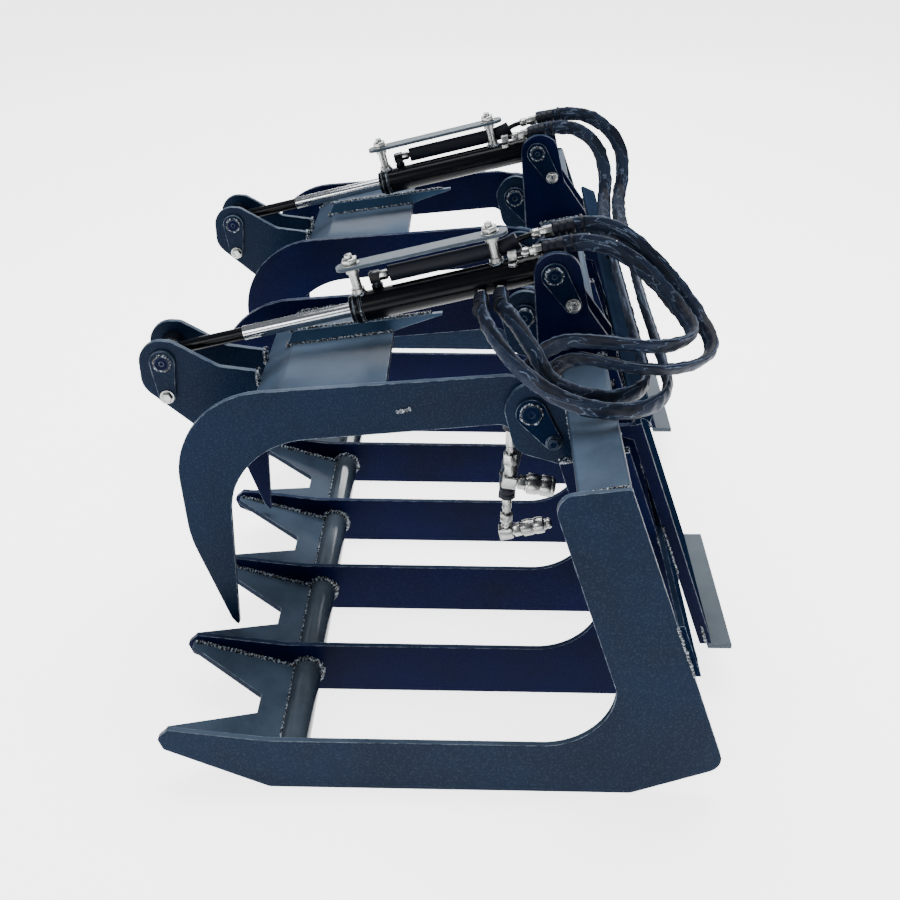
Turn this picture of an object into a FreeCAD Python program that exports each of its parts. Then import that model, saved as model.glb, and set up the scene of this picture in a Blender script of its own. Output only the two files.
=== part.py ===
"""Root grapple for a skid-steer loader, as a parametric document in millimetres.

X runs across the width, -Y points to the tine tips and +Z is up. Every plate is a profile in
the side view (Y, Z), padded along X. Side-view points are measured from a datum above the
tine floor, and datum_shift moves the whole part so that its box is centred on the origin.
"""
import FreeCAD, Part
import math
import os
from FreeCAD import Placement, Rotation, Vector

doc = FreeCAD.newDocument("root_grapple")
sheet = doc.addObject("Spreadsheet::Sheet", "Sizes")
X_AXIS = Vector(1, 0, 0)
CLEAR = 0.08   # radial running clearance of a pin in its hole
TOUCH = 0.3   # gap between a piece and the seat that carries it

SIZES = [
    ("overall_width", 1676.4), ("tine_count", 8), ("plate", 9.525), ("tine_height", 95.0),
    ("tip_reach", 482.0), ("nose_rise", 113.0), ("nose_floor", 74.0), ("nose_length", 170.0),
    ("heel_reach", 403.0), ("heel_rise", 57.0), ("floor_back", 260.0), ("floor_front", 312.0),
    ("throat_radius", 108.0), ("leg_front", 225.0), ("leg_lean", 0.332), ("leg_top_back", 222.0),
    ("leg_height", 564.0), ("front_tube_diameter", 48.3), ("front_tube_wall", 5.0),
    ("front_tube_reach", 277.0), ("front_tube_rise", 42.0), ("notch_flat", 46.0),
    ("notch_reach", 343.0), ("top_tube_side", 76.2), ("top_tube_wall", 6.35),
    ("top_tube_tilt", 12.0), ("rear_bar_low", 237.0), ("rear_bar_high", 329.0),
    ("attach_width", 1138.0), ("attach_gap", 441.0), ("attach_top_y", 268.0),
    ("attach_top_drop", 45.0), ("attach_low_y", 426.0), ("attach_low_z", 82.0),
    ("lip_depth", 32.0), ("lip_plate", 10.0), ("arm_offset", 350.0), ("claw_offset", 190.0),
    ("pivot_y", 95.0), ("pivot_drop", 34.0), ("claw_pin_diameter", 31.75),
    ("bracket_radius", 44.0), ("bracket_play", 3.0), ("claw_outer_radius", 155.0),
    ("claw_inner_radius", 146.0), ("claw_tip_y", -401.0), ("claw_tip_z", 92.0),
    ("claw_eye_radius", 46.0), ("cover_back", -137.0), ("cover_drop", 7.0),
    ("rib_height", 30.0), ("ear_gap", 76.0), ("ear_radius", 41.0), ("rod_pin_y", -523.0),
    ("rod_pin_drop", 30.0), ("base_pin_y", 132.0), ("base_pin_lift", 134.0),
    ("tower_radius", 37.0),
    ("cylinder_pin_diameter", 25.4), ("bore_diameter", 40.0), ("barrel_diameter", 50.8),
    ("barrel_length", 339.0), ("rod_diameter", 25.0), ("rod_end_length", 138.0),
    ("cylinder_eye_diameter", 50.0), ("guard_height", 72.0), ("guard_width", 32.0),
    ("guard_plate", 6.0), ("guard_front", 352.0), ("guard_back", 60.0),
    ("line_diameter", 9.7), ("bolt_diameter", 12.7), ("hose_diameter", 23.0),
    ("coupler_diameter", 36.0), ("coupler_length", 66.0),
]
for row, (alias, value) in enumerate(SIZES, start=1):
    sheet.set(f"A{row}", alias)
    sheet.set(f"B{row}", str(value))
    sheet.setAlias(f"B{row}", alias)
doc.recompute()


def size(alias):
    return float(sheet.get(alias))


PLATE = size("plate")
WIDTH = size("overall_width")
TINES = int(size("tine_count"))
PITCH = (WIDTH - PLATE) / (TINES - 1)
HEIGHT = size("tine_height")
LEAN = size("leg_lean")
LEG_TOP = size("leg_height")
PIVOT = (size("pivot_y"), LEG_TOP - size("pivot_drop"))
ROD_PIN = (size("rod_pin_y"), LEG_TOP - size("rod_pin_drop"))
BASE_PIN = (size("base_pin_y"), LEG_TOP + size("base_pin_lift"))
ATTACH_LOW = (size("attach_low_y"), size("attach_low_z"))
ATTACH_TOP = (size("attach_top_y"), LEG_TOP - size("attach_top_drop"))
TUBE_TOP_BACK = (size("leg_top_back"), LEG_TOP - 4.0)
TILT = math.radians(size("top_tube_tilt"))
SIDE = size("top_tube_side")
BACK_LEAN = (size("heel_reach") - TUBE_TOP_BACK[0]) / (TUBE_TOP_BACK[1] - size("heel_rise"))
ATTACH_LEAN = math.atan2(ATTACH_LOW[0] - ATTACH_TOP[0], ATTACH_TOP[1] - ATTACH_LOW[1])
FRONT_END = ROD_PIN[0] - size("ear_radius")
BACK_END = size("attach_low_y") + size("lip_depth")
DATUM_SHIFT = -(FRONT_END + BACK_END) / 2


def add(point, along, distance):
    return (point[0] + along[0] * distance, point[1] + along[1] * distance)


def mix(first, second, share):
    return tuple(one + (two - one) * share for one, two in zip(first, second))


def leg_back(height):
    """The Y of the tine's back edge at a height."""
    return TUBE_TOP_BACK[0] + BACK_LEAN * (TUBE_TOP_BACK[1] - height)


def leg_front_at(height):
    """The Y of the leg's front edge at a height."""
    throat_top = HEIGHT + size("throat_radius")
    return size("leg_front") - LEAN * (height - throat_top)


# Square top tube: its corners in the side view, from the top back corner.
TUBE_DOWN = (math.sin(TILT), -math.cos(TILT))
TUBE_BACK = (math.cos(TILT), math.sin(TILT))
TUBE_TOP_FRONT = add(TUBE_TOP_BACK, TUBE_BACK, -SIDE)
TUBE_LOW_BACK = add(TUBE_TOP_BACK, TUBE_DOWN, SIDE)
TUBE_LOW_FRONT = add(TUBE_TOP_FRONT, TUBE_DOWN, SIDE)

# Attach plane: from its low edge up, and its rear normal.
ATTACH_UP = (-math.sin(ATTACH_LEAN), math.cos(ATTACH_LEAN))
ATTACH_NORMAL = (math.cos(ATTACH_LEAN), math.sin(ATTACH_LEAN))
def under_tube(edge_at):
    """Where a leaning edge of a tine meets the plane of the top tube's underside."""
    foot, slope, rise = edge_at(0.0), edge_at(0.0) - edge_at(1.0), math.tan(TILT)
    height = (TUBE_LOW_FRONT[1] + (foot - TUBE_LOW_FRONT[0]) * rise) / (1 + slope * rise)
    return (edge_at(height), height)


def tube_back_at(height):
    """The Y of the top tube's back face at a height."""
    return TUBE_TOP_BACK[0] + (TUBE_TOP_BACK[1] - height) * math.tan(TILT)


def rounded(corners):
    """Edges of a closed outline. A corner is (y, z) or (y, z, radius)."""
    flat = [Vector(corner[0], corner[1], 0) for corner in corners]
    radii = [corner[2] if len(corner) > 2 else 0.0 for corner in corners]
    starts, ends, arcs = [], [], []
    for index, here in enumerate(flat):
        before = (flat[index - 1] - here).normalize()
        after = (flat[(index + 1) % len(flat)] - here).normalize()
        if radii[index] <= 0:
            starts.append(here)
            ends.append(here)
            arcs.append(None)
            continue
        half = before.getAngle(after) / 2
        reach = radii[index] / math.tan(half)
        starts.append(here + before * reach)
        ends.append(here + after * reach)
        middle = (before + after).normalize()
        arcs.append(here + middle * (radii[index] / math.sin(half) - radii[index]))
    edges = []
    for index, start in enumerate(starts):
        if arcs[index] is not None:
            edges.append(Part.Arc(start, arcs[index], ends[index]))
        following = starts[(index + 1) % len(starts)]
        if (following - ends[index]).Length > 1e-6:
            edges.append(Part.LineSegment(ends[index], following))
    return edges


def circle(center, radius):
    return Part.Circle(Vector(center[0], center[1], 0), Vector(0, 0, 1), radius)


def slot(first, second, radius):
    """Edges of a slot with round ends between two points."""
    a = Vector(first[0], first[1], 0)
    b = Vector(second[0], second[1], 0)
    along = (b - a).normalize()
    side = Vector(-along.y, along.x, 0)
    return [
        Part.LineSegment(a + side * radius, b + side * radius),
        Part.Arc(b + side * radius, b + along * radius, b - side * radius),
        Part.LineSegment(b - side * radius, a - side * radius),
        Part.Arc(a - side * radius, a - along * radius, a + side * radius),
    ]


def plane(body, role):
    return next(item for item in body.Origin.OriginFeatures if item.Role == role)


def new_body(label):
    body = doc.addObject("PartDesign::Body", label)
    body.Label = label
    return body


def sketch_in(body, role, edges):
    sketch = body.newObject("Sketcher::SketchObject", body.Name + "_profile")
    sketch.AttachmentSupport = [(plane(body, role), "")]
    sketch.MapMode = "FlatFace"
    for edge in edges:
        sketch.addGeometry(edge, False)
    return sketch


def side_plate(label, edges, thickness, low_x):
    """A body whose side-view outline is padded along +X. thickness and low_x are expressions."""
    body = new_body(label)
    pad = body.newObject("PartDesign::Pad", label + "_pad")
    pad.Profile = sketch_in(body, "YZ_Plane", edges)
    pad.setExpression("Length", thickness)
    body.setExpression("Placement.Base.x", low_x)
    body.Placement.Base.y = DATUM_SHIFT
    body.Tip = pad
    return body


def cell(alias):
    return f"<<Sizes>>.{alias}"


def joined(label, bodies):
    """One labelled node from several separate solids."""
    group = doc.addObject("Part::Compound", label)
    group.Label = label
    group.Links = bodies
    return group


def tine_outline(end_plate):
    """Edges of a tine: nose, floor, heel and leaning leg. Inner legs stop under the top tube."""
    reach = size("tip_reach")
    throat = size("throat_radius")
    leg_front = size("leg_front")
    nose_back = (-reach + size("nose_length"), HEIGHT)
    throat_low = (leg_front - throat, HEIGHT)
    throat_high = (leg_front, HEIGHT + throat)
    center = Vector(throat_low[0], throat_high[1], 0)
    middle = center + Vector(throat * math.sqrt(0.5), -throat * math.sqrt(0.5), 0)
    if end_plate:
        top_z = size("leg_height") - 20.0
        top = [(leg_front_at(top_z), top_z, 28.0), (*TUBE_TOP_BACK, 6.0)]
    else:
        top = [(*under_tube(leg_front_at), 4.0), (*under_tube(leg_back), 4.0)]
    corners = [
        throat_high, *top,
        (size("heel_reach"), size("heel_rise"), 26.0),
        (size("floor_back"), 0.0, 20.0),
        (-size("floor_front"), 0.0, 14.0),
        (-reach + 8.0, size("nose_floor"), 8.0),
        (-reach, size("nose_floor") + 22.0, 8.0),
        (-reach + 18.0, size("nose_rise"), 6.0),
        nose_back, throat_low,
    ]
    edges = rounded(corners)
    edges.pop()
    edges.append(Part.Arc(Vector(*throat_low, 0), middle, Vector(*throat_high, 0)))
    return edges


def make_tines():
    """Eight flame-cut tines on an even pitch, bored for the front tube."""
    tube = (-size("front_tube_reach"), size("front_tube_rise"))
    tube_radius = size("front_tube_diameter") / 2
    nodes = []
    for index in range(TINES):
        end_plate = index in (0, TINES - 1)
        outline = tine_outline(end_plate)
        if not end_plate:
            outline.append(circle(tube, tube_radius + CLEAR))
        low_x = (f"{cell('overall_width')} / 2 - {cell('plate')} - {index} * "
                 f"({cell('overall_width')} - {cell('plate')}) / ({cell('tine_count')} - 1)")
        nodes.append(side_plate(f"tine_{index + 1}", outline, cell("plate"), low_x))
    return nodes


INNER_WIDTH = f"{cell('overall_width')} - 2 * {cell('plate')}"
INNER_LOW_X = f"{cell('plate')} - {cell('overall_width')} / 2"


def make_front_tube():
    """Round tube between the end tines and through the inner ones, just behind their noses."""
    center = (-size("front_tube_reach"), size("front_tube_rise"))
    radius = size("front_tube_diameter") / 2
    edges = [circle(center, radius), circle(center, radius - size("front_tube_wall"))]
    return [side_plate("front_tube", edges, INNER_WIDTH, INNER_LOW_X)]


def make_nose_plates():
    """Notched lip plates between the noses, sloping down to the front tube."""
    nose = (-size("tip_reach") + 12.0, size("nose_rise") - 12.0)
    tube_radius = size("front_tube_diameter") / 2
    seat = (-size("front_tube_reach") - tube_radius * 0.94, size("front_tube_rise") + 9.0)
    run = math.hypot(seat[0] - nose[0], seat[1] - nose[1])
    slope = math.atan2(seat[1] - nose[1], seat[0] - nose[0])
    gap = PITCH - PLATE
    notch = (-size("notch_reach") - nose[0]) / math.cos(slope)
    flat = size("notch_flat") / 2
    side_land = 14.0
    outline = rounded([
        (-gap / 2, 0.0), (-gap / 2 + side_land, 0.0), (-flat, notch), (flat, notch),
        (gap / 2 - side_land, 0.0), (gap / 2, 0.0), (gap / 2, run), (-gap / 2, run),
    ])
    plates = []
    for index in range(TINES - 1):
        body = new_body(f"nose_plate_{index + 1}")
        pad = body.newObject("PartDesign::Pad", body.Name + "_pad")
        pad.Profile = sketch_in(body, "XY_Plane", outline)
        pad.setExpression("Length", cell("plate"))
        pad.Reversed = True
        x = WIDTH / 2 - PLATE - gap / 2 - index * PITCH
        body.Placement = Placement(Vector(x, nose[0] + DATUM_SHIFT, nose[1]),
                                   Rotation(X_AXIS, math.degrees(slope)))
        body.Tip = pad
        plates.append(body)
    return [joined("nose_plates", plates)]


def make_top_tube():
    """Square tube between the end tines, on top of the inner legs."""
    wall = size("top_tube_wall")
    corners = [TUBE_TOP_FRONT, TUBE_TOP_BACK, TUBE_LOW_BACK, TUBE_LOW_FRONT]
    center = mix(TUBE_TOP_FRONT, TUBE_LOW_BACK, 0.5)
    share = 2 * wall / SIDE
    inner = [(*mix(corner, center, share), 3.0) for corner in corners]
    edges = rounded([(*corner, 6.0) for corner in corners]) + rounded(inner)
    return [side_plate("top_tube", edges, INNER_WIDTH, INNER_LOW_X)]


def make_rear_bar():
    """Flat bar across the back edges of the legs."""
    low, high = size("rear_bar_low"), size("rear_bar_high")
    thick = PLATE * math.sqrt(1 + BACK_LEAN ** 2)
    edges = rounded([(leg_back(low), low), (leg_back(high), high),
                     (leg_back(high) + thick, high), (leg_back(low) + thick, low)])
    return [side_plate("rear_cross_bar", edges, cell("overall_width"),
                       f"-{cell('overall_width')} / 2")]


def attach_spans():
    """The two X spans of the attach plates, left first."""
    outer, inner = size("attach_width") / 2, size("attach_gap") / 2
    return [("left", inner, outer), ("right", -outer, -inner)]


def make_attach_sides():
    """Plates that carry the attach faces on the rear bar and the top tube."""
    bar_back = PLATE * math.sqrt(1 + BACK_LEAN ** 2)
    low_z = ATTACH_LOW[1] + 7.0
    low_back = mix(ATTACH_LOW, ATTACH_TOP, (low_z - ATTACH_LOW[1]) / (ATTACH_TOP[1] - ATTACH_LOW[1]))
    bend_z, top_z = ATTACH_TOP[1] - 30.0, ATTACH_TOP[1] - 5.0
    outline = rounded([
        (leg_back(low_z) + bar_back, low_z), (leg_back(bend_z) + bar_back, bend_z),
        (tube_back_at(bend_z + 7.0) + TOUCH, bend_z + 7.0), (tube_back_at(top_z) + TOUCH, top_z),
        add(ATTACH_TOP, ATTACH_NORMAL, -PLATE), ATTACH_TOP, low_back,
    ])
    plates = []
    for side, inner, outer in attach_spans():
        for name, low_x in (("a", inner), ("b", outer - PLATE)):
            plates.append(side_plate(f"attach_side_{side}_{name}", outline, cell("plate"),
                                     f"{low_x} mm"))
    return [joined("attach_side_plates", plates)]


def make_attach_faces():
    """Flat faces that the loader's carrier plate bears on, one each side."""
    back_low = add(ATTACH_LOW, ATTACH_UP, size("lip_plate") + TOUCH)
    outline = rounded([back_low, ATTACH_TOP, add(ATTACH_TOP, ATTACH_NORMAL, -PLATE),
                       add(back_low, ATTACH_NORMAL, -PLATE)])
    nodes = []
    for side, inner, outer in attach_spans():
        nodes.append(side_plate(f"attach_face_{side}", outline, f"{outer - inner - 2 * PLATE} mm",
                                f"{inner + PLATE} mm"))
    return [joined("attach_faces", nodes)]


def make_attach_hook():
    """Bent bar along the top of the attach faces, which hooks over the carrier plate."""
    foot = add(ATTACH_TOP, ATTACH_NORMAL, -PLATE)
    foot = add(foot, ATTACH_UP, TOUCH)
    thick = PLATE + 1.0
    ridge = add(foot, ATTACH_UP, 34.0)
    nose = (ridge[0] + 36.0, ridge[1] - 16.0)
    outline = rounded([foot, (*ridge, 5.0), nose, (nose[0] - 3.0, nose[1] - thick),
                       (ridge[0] + thick, ridge[1] - thick - 3.0, 3.0),
                       add(foot, ATTACH_NORMAL, thick)])
    return [side_plate("attach_hook", outline, cell("attach_width"),
                       f"-{cell('attach_width')} / 2")]


def make_attach_lips():
    """Lower lips that the carrier's lock pins wedge behind."""
    front = add(ATTACH_LOW, ATTACH_NORMAL, -PLATE)
    thick = size("lip_plate")
    tip = (ATTACH_LOW[0] + size("lip_depth"), ATTACH_LOW[1] - 3.0)
    outline = rounded([front, add(front, ATTACH_UP, thick), (tip[0], tip[1] + thick, 3.0),
                       (*tip, 2.0)])
    lips = [side_plate(f"attach_lip_{side}", outline, f"{outer - inner} mm", f"{inner} mm")
            for side, inner, outer in attach_spans()]
    return [joined("attach_lips", lips)]


SIDES = (("left", 1.0), ("right", -1.0))


def bracket_outline():
    """Egg-shaped bracket from the claw pivot to the front and underside of the top tube."""
    radius = size("bracket_radius")
    y, z = PIVOT
    low = add(TUBE_LOW_FRONT, TUBE_DOWN, 34.0)
    foot = (leg_front_at(low[1]) + 14.0, low[1])
    return rounded([
        TUBE_TOP_FRONT, TUBE_LOW_FRONT, foot, (foot[0] - 16.0, foot[1], 4.0),
        (y - radius * 0.55, z - radius * 1.62, radius * 0.9),
        (y - radius * 1.02, z + radius * 0.2, radius * 0.85),
        (y - radius * 0.4, z + radius * 1.28, radius * 0.9),
        (y + radius * 0.9, z + radius * 0.92, 10.0),
    ])


def claw_centers(sign):
    offset = size("arm_offset") * sign
    return [offset + size("claw_offset"), offset - size("claw_offset")]


def make_claw_brackets():
    """Two bracket plates astride each claw."""
    hole = circle(PIVOT, size("claw_pin_diameter") / 2 + CLEAR)
    reach = PLATE / 2 + size("bracket_play")
    nodes = []
    for side, sign in SIDES:
        plates = []
        for number, center in enumerate(claw_centers(sign), start=1):
            for name, low_x in (("a", center + reach), ("b", center - reach - PLATE)):
                plates.append(side_plate(f"bracket_{side}_{number}{name}",
                                         bracket_outline() + [hole], cell("plate"),
                                         f"{low_x} mm"))
        nodes.append(joined(f"{side}_claw_brackets", plates))
    return nodes


def ear_places(sign):
    """The low X of the two ears astride a cylinder eye."""
    half = size("ear_gap") / 2
    center = size("arm_offset") * sign
    return (("a", center + half), ("b", center - half - PLATE))


def make_towers():
    """Tower plates that stand on the top tube and carry the cylinder's base pin."""
    y, z = BASE_PIN
    radius = size("tower_radius")
    front_low = add(TUBE_TOP_FRONT, TUBE_DOWN, 40.0)
    back_low = add(TUBE_TOP_BACK, TUBE_DOWN, 30.0)
    outline = rounded([
        (y - radius, z + radius, radius), (y - radius + 19.0, TUBE_TOP_FRONT[1] - 6.0),
        (y - radius + 21.0, front_low[1], 5.0), front_low, TUBE_TOP_FRONT, TUBE_TOP_BACK,
        back_low, (back_low[0] + 14.0, back_low[1], 4.0), (y + 110.0, z - 130.0, 14.0),
        (y + 59.0, z - 59.0, 40.0), (y + radius, z + radius, radius),
    ])
    hole = circle(BASE_PIN, size("cylinder_pin_diameter") / 2 + CLEAR)
    nodes = []
    for side, sign in SIDES:
        plates = [side_plate(f"tower_{side}_{name}", outline + [hole], cell("plate"),
                             f"{low_x} mm") for name, low_x in ear_places(sign)]
        nodes.append(joined(f"{side}_cylinder_tower", plates))
    return nodes


def flag_pin(label, center, toward, radius, low_x, high_x, flag_length):
    """A pin along X with a flag plate on its +X end, which one bolt holds from turning."""
    body = new_body(label)
    shaft = body.newObject("PartDesign::Pad", label + "_shaft")
    shaft.Profile = sketch_in(body, "YZ_Plane", [circle(center, radius)])
    shaft.Length = high_x - low_x
    flag_profile = body.newObject("Sketcher::SketchObject", label + "_flag_profile")
    flag_profile.AttachmentSupport = [(plane(body, "YZ_Plane"), "")]
    flag_profile.MapMode = "FlatFace"
    flag_profile.AttachmentOffset = Placement(Vector(0, 0, high_x - low_x), Rotation())
    far = add(center, toward, flag_length)
    head, tail = radius + 9.0, size("bolt_diameter") / 2 + 8.0
    for edge in teardrop(center, far, head, tail):
        flag_profile.addGeometry(edge, False)
    flag_profile.addGeometry(circle(far, size("bolt_diameter") / 2 + CLEAR), False)
    flag = body.newObject("PartDesign::Pad", label + "_flag")
    flag.Profile = flag_profile
    flag.Length = 6.0
    body.Tip = flag
    body.Placement.Base = Vector(low_x, DATUM_SHIFT, 0)
    return body


def teardrop(center, far, head, tail):
    """Edges of two circles joined by their outer tangents."""
    a = Vector(center[0], center[1], 0)
    b = Vector(far[0], far[1], 0)
    along = (b - a).normalize()
    side = Vector(-along.y, along.x, 0)
    sine = (head - tail) / (b - a).Length
    cosine = math.sqrt(1 - sine ** 2)
    up = along * sine + side * cosine
    down = along * sine - side * cosine
    return [
        Part.Arc(a + up * head, a - along * head, a + down * head),
        Part.LineSegment(a + down * head, b + down * tail),
        Part.Arc(b + down * tail, b + along * tail, b + up * tail),
        Part.LineSegment(b + up * tail, a + up * head),
    ]


def flag_bolt(label, center, toward, flag_length, plate_x, shank):
    """Hex bolt through the flag and the plate under it, with its head outside."""
    far = add(center, toward, flag_length)
    hexagon = [(far[0] + 10.5 * math.cos(math.radians(60 * k)),
                far[1] + 10.5 * math.sin(math.radians(60 * k))) for k in range(6)]
    body = new_body(label)
    head = body.newObject("PartDesign::Pad", label + "_head")
    head.Profile = sketch_in(body, "YZ_Plane", rounded(hexagon))
    head.Length = 8.0
    stem = body.newObject("Sketcher::SketchObject", label + "_stem_profile")
    stem.AttachmentSupport = [(plane(body, "YZ_Plane"), "")]
    stem.MapMode = "FlatFace"
    stem.addGeometry(circle(far, size("bolt_diameter") / 2), False)
    pad = body.newObject("PartDesign::Pad", label + "_stem")
    pad.Profile = stem
    pad.Length = shank
    pad.Reversed = True
    body.Tip = pad
    body.Placement.Base = Vector(plate_x, DATUM_SHIFT, 0)
    return body


CLAW_FLAG = (math.cos(math.radians(-54.0)), math.sin(math.radians(-54.0)))
BASE_FLAG = (math.cos(math.radians(-57.0)), math.sin(math.radians(-57.0)))
ROD_FLAG = (0.047, -0.9989)
FLAG_LENGTH = 62.0
FLAG_PLATE = 6.0


def make_frame_pins():
    """Claw pins and cylinder base pins, held by their flags on the frame."""
    claw_radius = size("claw_pin_diameter") / 2
    base_radius = size("cylinder_pin_diameter") / 2
    reach = PLATE * 1.5 + size("bracket_play")
    ear_reach = size("ear_gap") / 2 + PLATE
    pins, bolts = [], []
    for side, sign in SIDES:
        for number, center in enumerate(claw_centers(sign), start=1):
            seat = center + reach + TOUCH
            pins.append(flag_pin(f"claw_pin_{side}_{number}", PIVOT, CLAW_FLAG, claw_radius,
                                 center - reach - 6.0, seat, FLAG_LENGTH))
            bolts.append(flag_bolt(f"claw_bolt_{side}_{number}", PIVOT, CLAW_FLAG, FLAG_LENGTH,
                                   seat + FLAG_PLATE + CLEAR, FLAG_PLATE - 0.4))
        center = size("arm_offset") * sign
        seat = center + ear_reach + TOUCH
        pins.append(flag_pin(f"base_pin_{side}", BASE_PIN, BASE_FLAG, base_radius,
                             center - ear_reach - 6.0, seat, FLAG_LENGTH - 2.0))
        bolts.append(flag_bolt(f"base_bolt_{side}", BASE_PIN, BASE_FLAG, FLAG_LENGTH - 2.0,
                               seat + FLAG_PLATE + CLEAR, FLAG_PLATE - 0.4))
    return [joined("frame_pins", pins), joined("frame_pin_bolts", bolts)]


def claw_outline():
    """Edges of a claw: straight back, round shoulder, long hooked finger and pivot eye."""
    outer, inner = size("claw_outer_radius"), size("claw_inner_radius")
    tip = (size("claw_tip_y"), size("claw_tip_z"))
    eye = size("claw_eye_radius")
    y, z = PIVOT
    return rounded([
        (tip[0], tip[1], 3.0),
        (tip[0] - 13.0, tip[1] + 18.0),
        (tip[0] - 70.0, tip[1] + 186.0, 220.0),
        (tip[0] - 86.0, z + 8.0, outer),
        (y - 40.0, z + 57.0, 14.0),
        (y + eye, z + eye * 0.98, eye * 0.86),
        (y + eye, z - eye * 0.96, eye * 0.9),
        (y - 24.0, z - eye * 0.9, 24.0),
        (y - 46.0, z - 28.5, 20.0),
        (tip[0] + 6.0, z - 75.0, inner),
        (tip[0] + 1.5, tip[1] + 100.0, 400.0),
    ])


def make_arms():
    """Two identical arms: claws, cover plate, rib, rod ears and rod pin."""
    hole = circle(PIVOT, size("claw_pin_diameter") / 2 + CLEAR)
    nodes = []
    for side, sign in SIDES:
        near, far = claw_centers(sign)
        claws = (("outer", near), ("inner", far)) if sign > 0 else (("inner", near), ("outer", far))
        for name, center in claws:
            nodes.append(side_plate(f"{side}_claw_{name}", claw_outline() + [hole],
                                    cell("plate"), f"{center - PLATE / 2} mm"))
        nodes += arm_middle(side, sign, near, far)
    return nodes


COVER_SLOPE = 0.15


def cover_top(y):
    """Height of the cover plate's upper face on its flat part."""
    return LEG_TOP - size("cover_drop") + COVER_SLOPE * (y - size("cover_back"))


def cover_outline():
    bend_y = size("cover_back") - 175.0
    front = (bend_y - 50.0, cover_top(bend_y) - 36.0)
    back = (size("cover_back"), cover_top(size("cover_back")))
    down = PLATE
    return rounded([
        (bend_y, cover_top(bend_y), 14.0), back, (back[0] + 1.4, back[1] - down),
        (bend_y + 2.5, cover_top(bend_y) - down, 8.0),
        (front[0] + 6.0, front[1] - 7.5), front,
    ])


def ear_outline():
    """Ear plate from the rod pin back to the underside of the cover plate."""
    y, z = ROD_PIN
    radius = size("ear_radius")
    bend_y = size("cover_back") - 175.0
    front = (bend_y - 50.0, cover_top(bend_y) - 36.0)
    return rounded([
        (y - radius, z + radius * 0.98, radius * 0.97),
        (y + 16.0, z + radius * 0.9, 20.0), (y + 94.0, z - 8.0, 30.0),
        (front[0] - 0.5, z - 16.0), (front[0] - 0.5, front[1] - 0.1),
        (front[0] + 5.9, front[1] - 8.0), (bend_y + 2.6, cover_top(bend_y) - PLATE - TOUCH, 8.0),
        (bend_y + 30.0, cover_top(bend_y + 30.0) - PLATE - TOUCH),
        (bend_y + 16.0, z - 70.0, 20.0),
        (y + 62.0, z - 136.0, 12.0), (y - radius * 0.98, z - 48.0, radius),
    ])


def arm_middle(side, sign, near, far):
    """What joins the two claws of one arm and takes the cylinder's push."""
    center = size("arm_offset") * sign
    length = near - far - PLATE
    cover = side_plate(f"{side}_cover_plate", cover_outline(), f"{length} mm",
                       f"{far + PLATE / 2} mm")
    back = size("cover_back")
    rise = size("rib_height")
    front_y = back - 187.0
    rib_edges = rounded([
        (front_y, cover_top(front_y) - 2.0), (front_y + 12.0, cover_top(front_y) + rise - 4.0, 6.0),
        (back + 85.0, cover_top(back) + rise + 6.0),
        (back + 85.0, cover_top(back) + rise + 2.0),
        (back + 29.0, cover_top(back) + 12.0), (back, cover_top(back) + TOUCH),
        (front_y + 14.0, cover_top(front_y + 14.0) + TOUCH),
    ])
    rib = side_plate(f"{side}_arm_rib", rib_edges, cell("plate"),
                     f"{center - size('ear_gap') / 2 - PLATE} mm")
    hole = circle(ROD_PIN, size("cylinder_pin_diameter") / 2 + CLEAR)
    ears = [side_plate(f"ear_{side}_{name}", ear_outline() + [hole], cell("plate"),
                       f"{low_x} mm") for name, low_x in ear_places(sign)]
    radius = size("cylinder_pin_diameter") / 2
    half = size("ear_gap") / 2
    head = flag_pin(f"rod_pin_head_{side}", ROD_PIN, ROD_FLAG, radius, center + half,
                    center + half + PLATE + TOUCH, FLAG_LENGTH + 1.0)
    tail = side_plate(f"rod_pin_tail_{side}", [circle(ROD_PIN, radius)],
                      f"{PLATE + 6.0} mm", f"{center - half - PLATE - 6.0} mm")
    bolt = flag_bolt(f"{side}_rod_pin_bolt", ROD_PIN, ROD_FLAG, FLAG_LENGTH + 1.0,
                     center + half + PLATE + TOUCH + FLAG_PLATE + CLEAR, FLAG_PLATE - 0.4)
    return [cover, rib, joined(f"{side}_rod_ears", ears),
            joined(f"{side}_rod_pin_ends", [head, tail]), bolt]


# Cylinder frame: origin on the base pin, local X along the rod, local Z above it.
REST_LENGTH = math.hypot(ROD_PIN[0] - BASE_PIN[0], ROD_PIN[1] - BASE_PIN[1])
ALONG = ((ROD_PIN[0] - BASE_PIN[0]) / REST_LENGTH, (ROD_PIN[1] - BASE_PIN[1]) / REST_LENGTH)


def cylinder_place(sign):
    local_x = Vector(0, ALONG[0], ALONG[1])
    local_z = Vector(0, ALONG[1], -ALONG[0])
    local_y = local_z.cross(local_x)
    turn = Rotation(local_x, local_y, local_z, "ZXY")
    base = Vector(size("arm_offset") * sign, BASE_PIN[0] + DATUM_SHIFT, BASE_PIN[1])
    return Placement(base, turn)


def revolved(label, corners, place):
    """A turned piece: its half profile (distance along the axis, radius) spun about local X."""
    body = new_body(label)
    spin = body.newObject("PartDesign::Revolution", label + "_spin")
    profile = sketch_in(body, "XY_Plane", rounded(corners))
    spin.Profile = profile
    spin.ReferenceAxis = (profile, ["H_Axis"])
    spin.Angle = 360.0
    body.Tip = spin
    body.Placement = place
    return body


def cross_cylinder(label, radius, width, place, at=0.0):
    """A plain cylinder across the cylinder's axis, centred on it."""
    item = doc.addObject("Part::Cylinder", label)
    item.Radius = radius
    item.Height = width
    turn = Rotation(X_AXIS, 90)
    item.Placement = place.multiply(Placement(Vector(at, width / 2, 0), turn))
    return item


def cut(label, base, tool):
    item = doc.addObject("Part::Cut", label)
    item.Label = label
    item.Base = base
    item.Tool = tool
    return item


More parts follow.
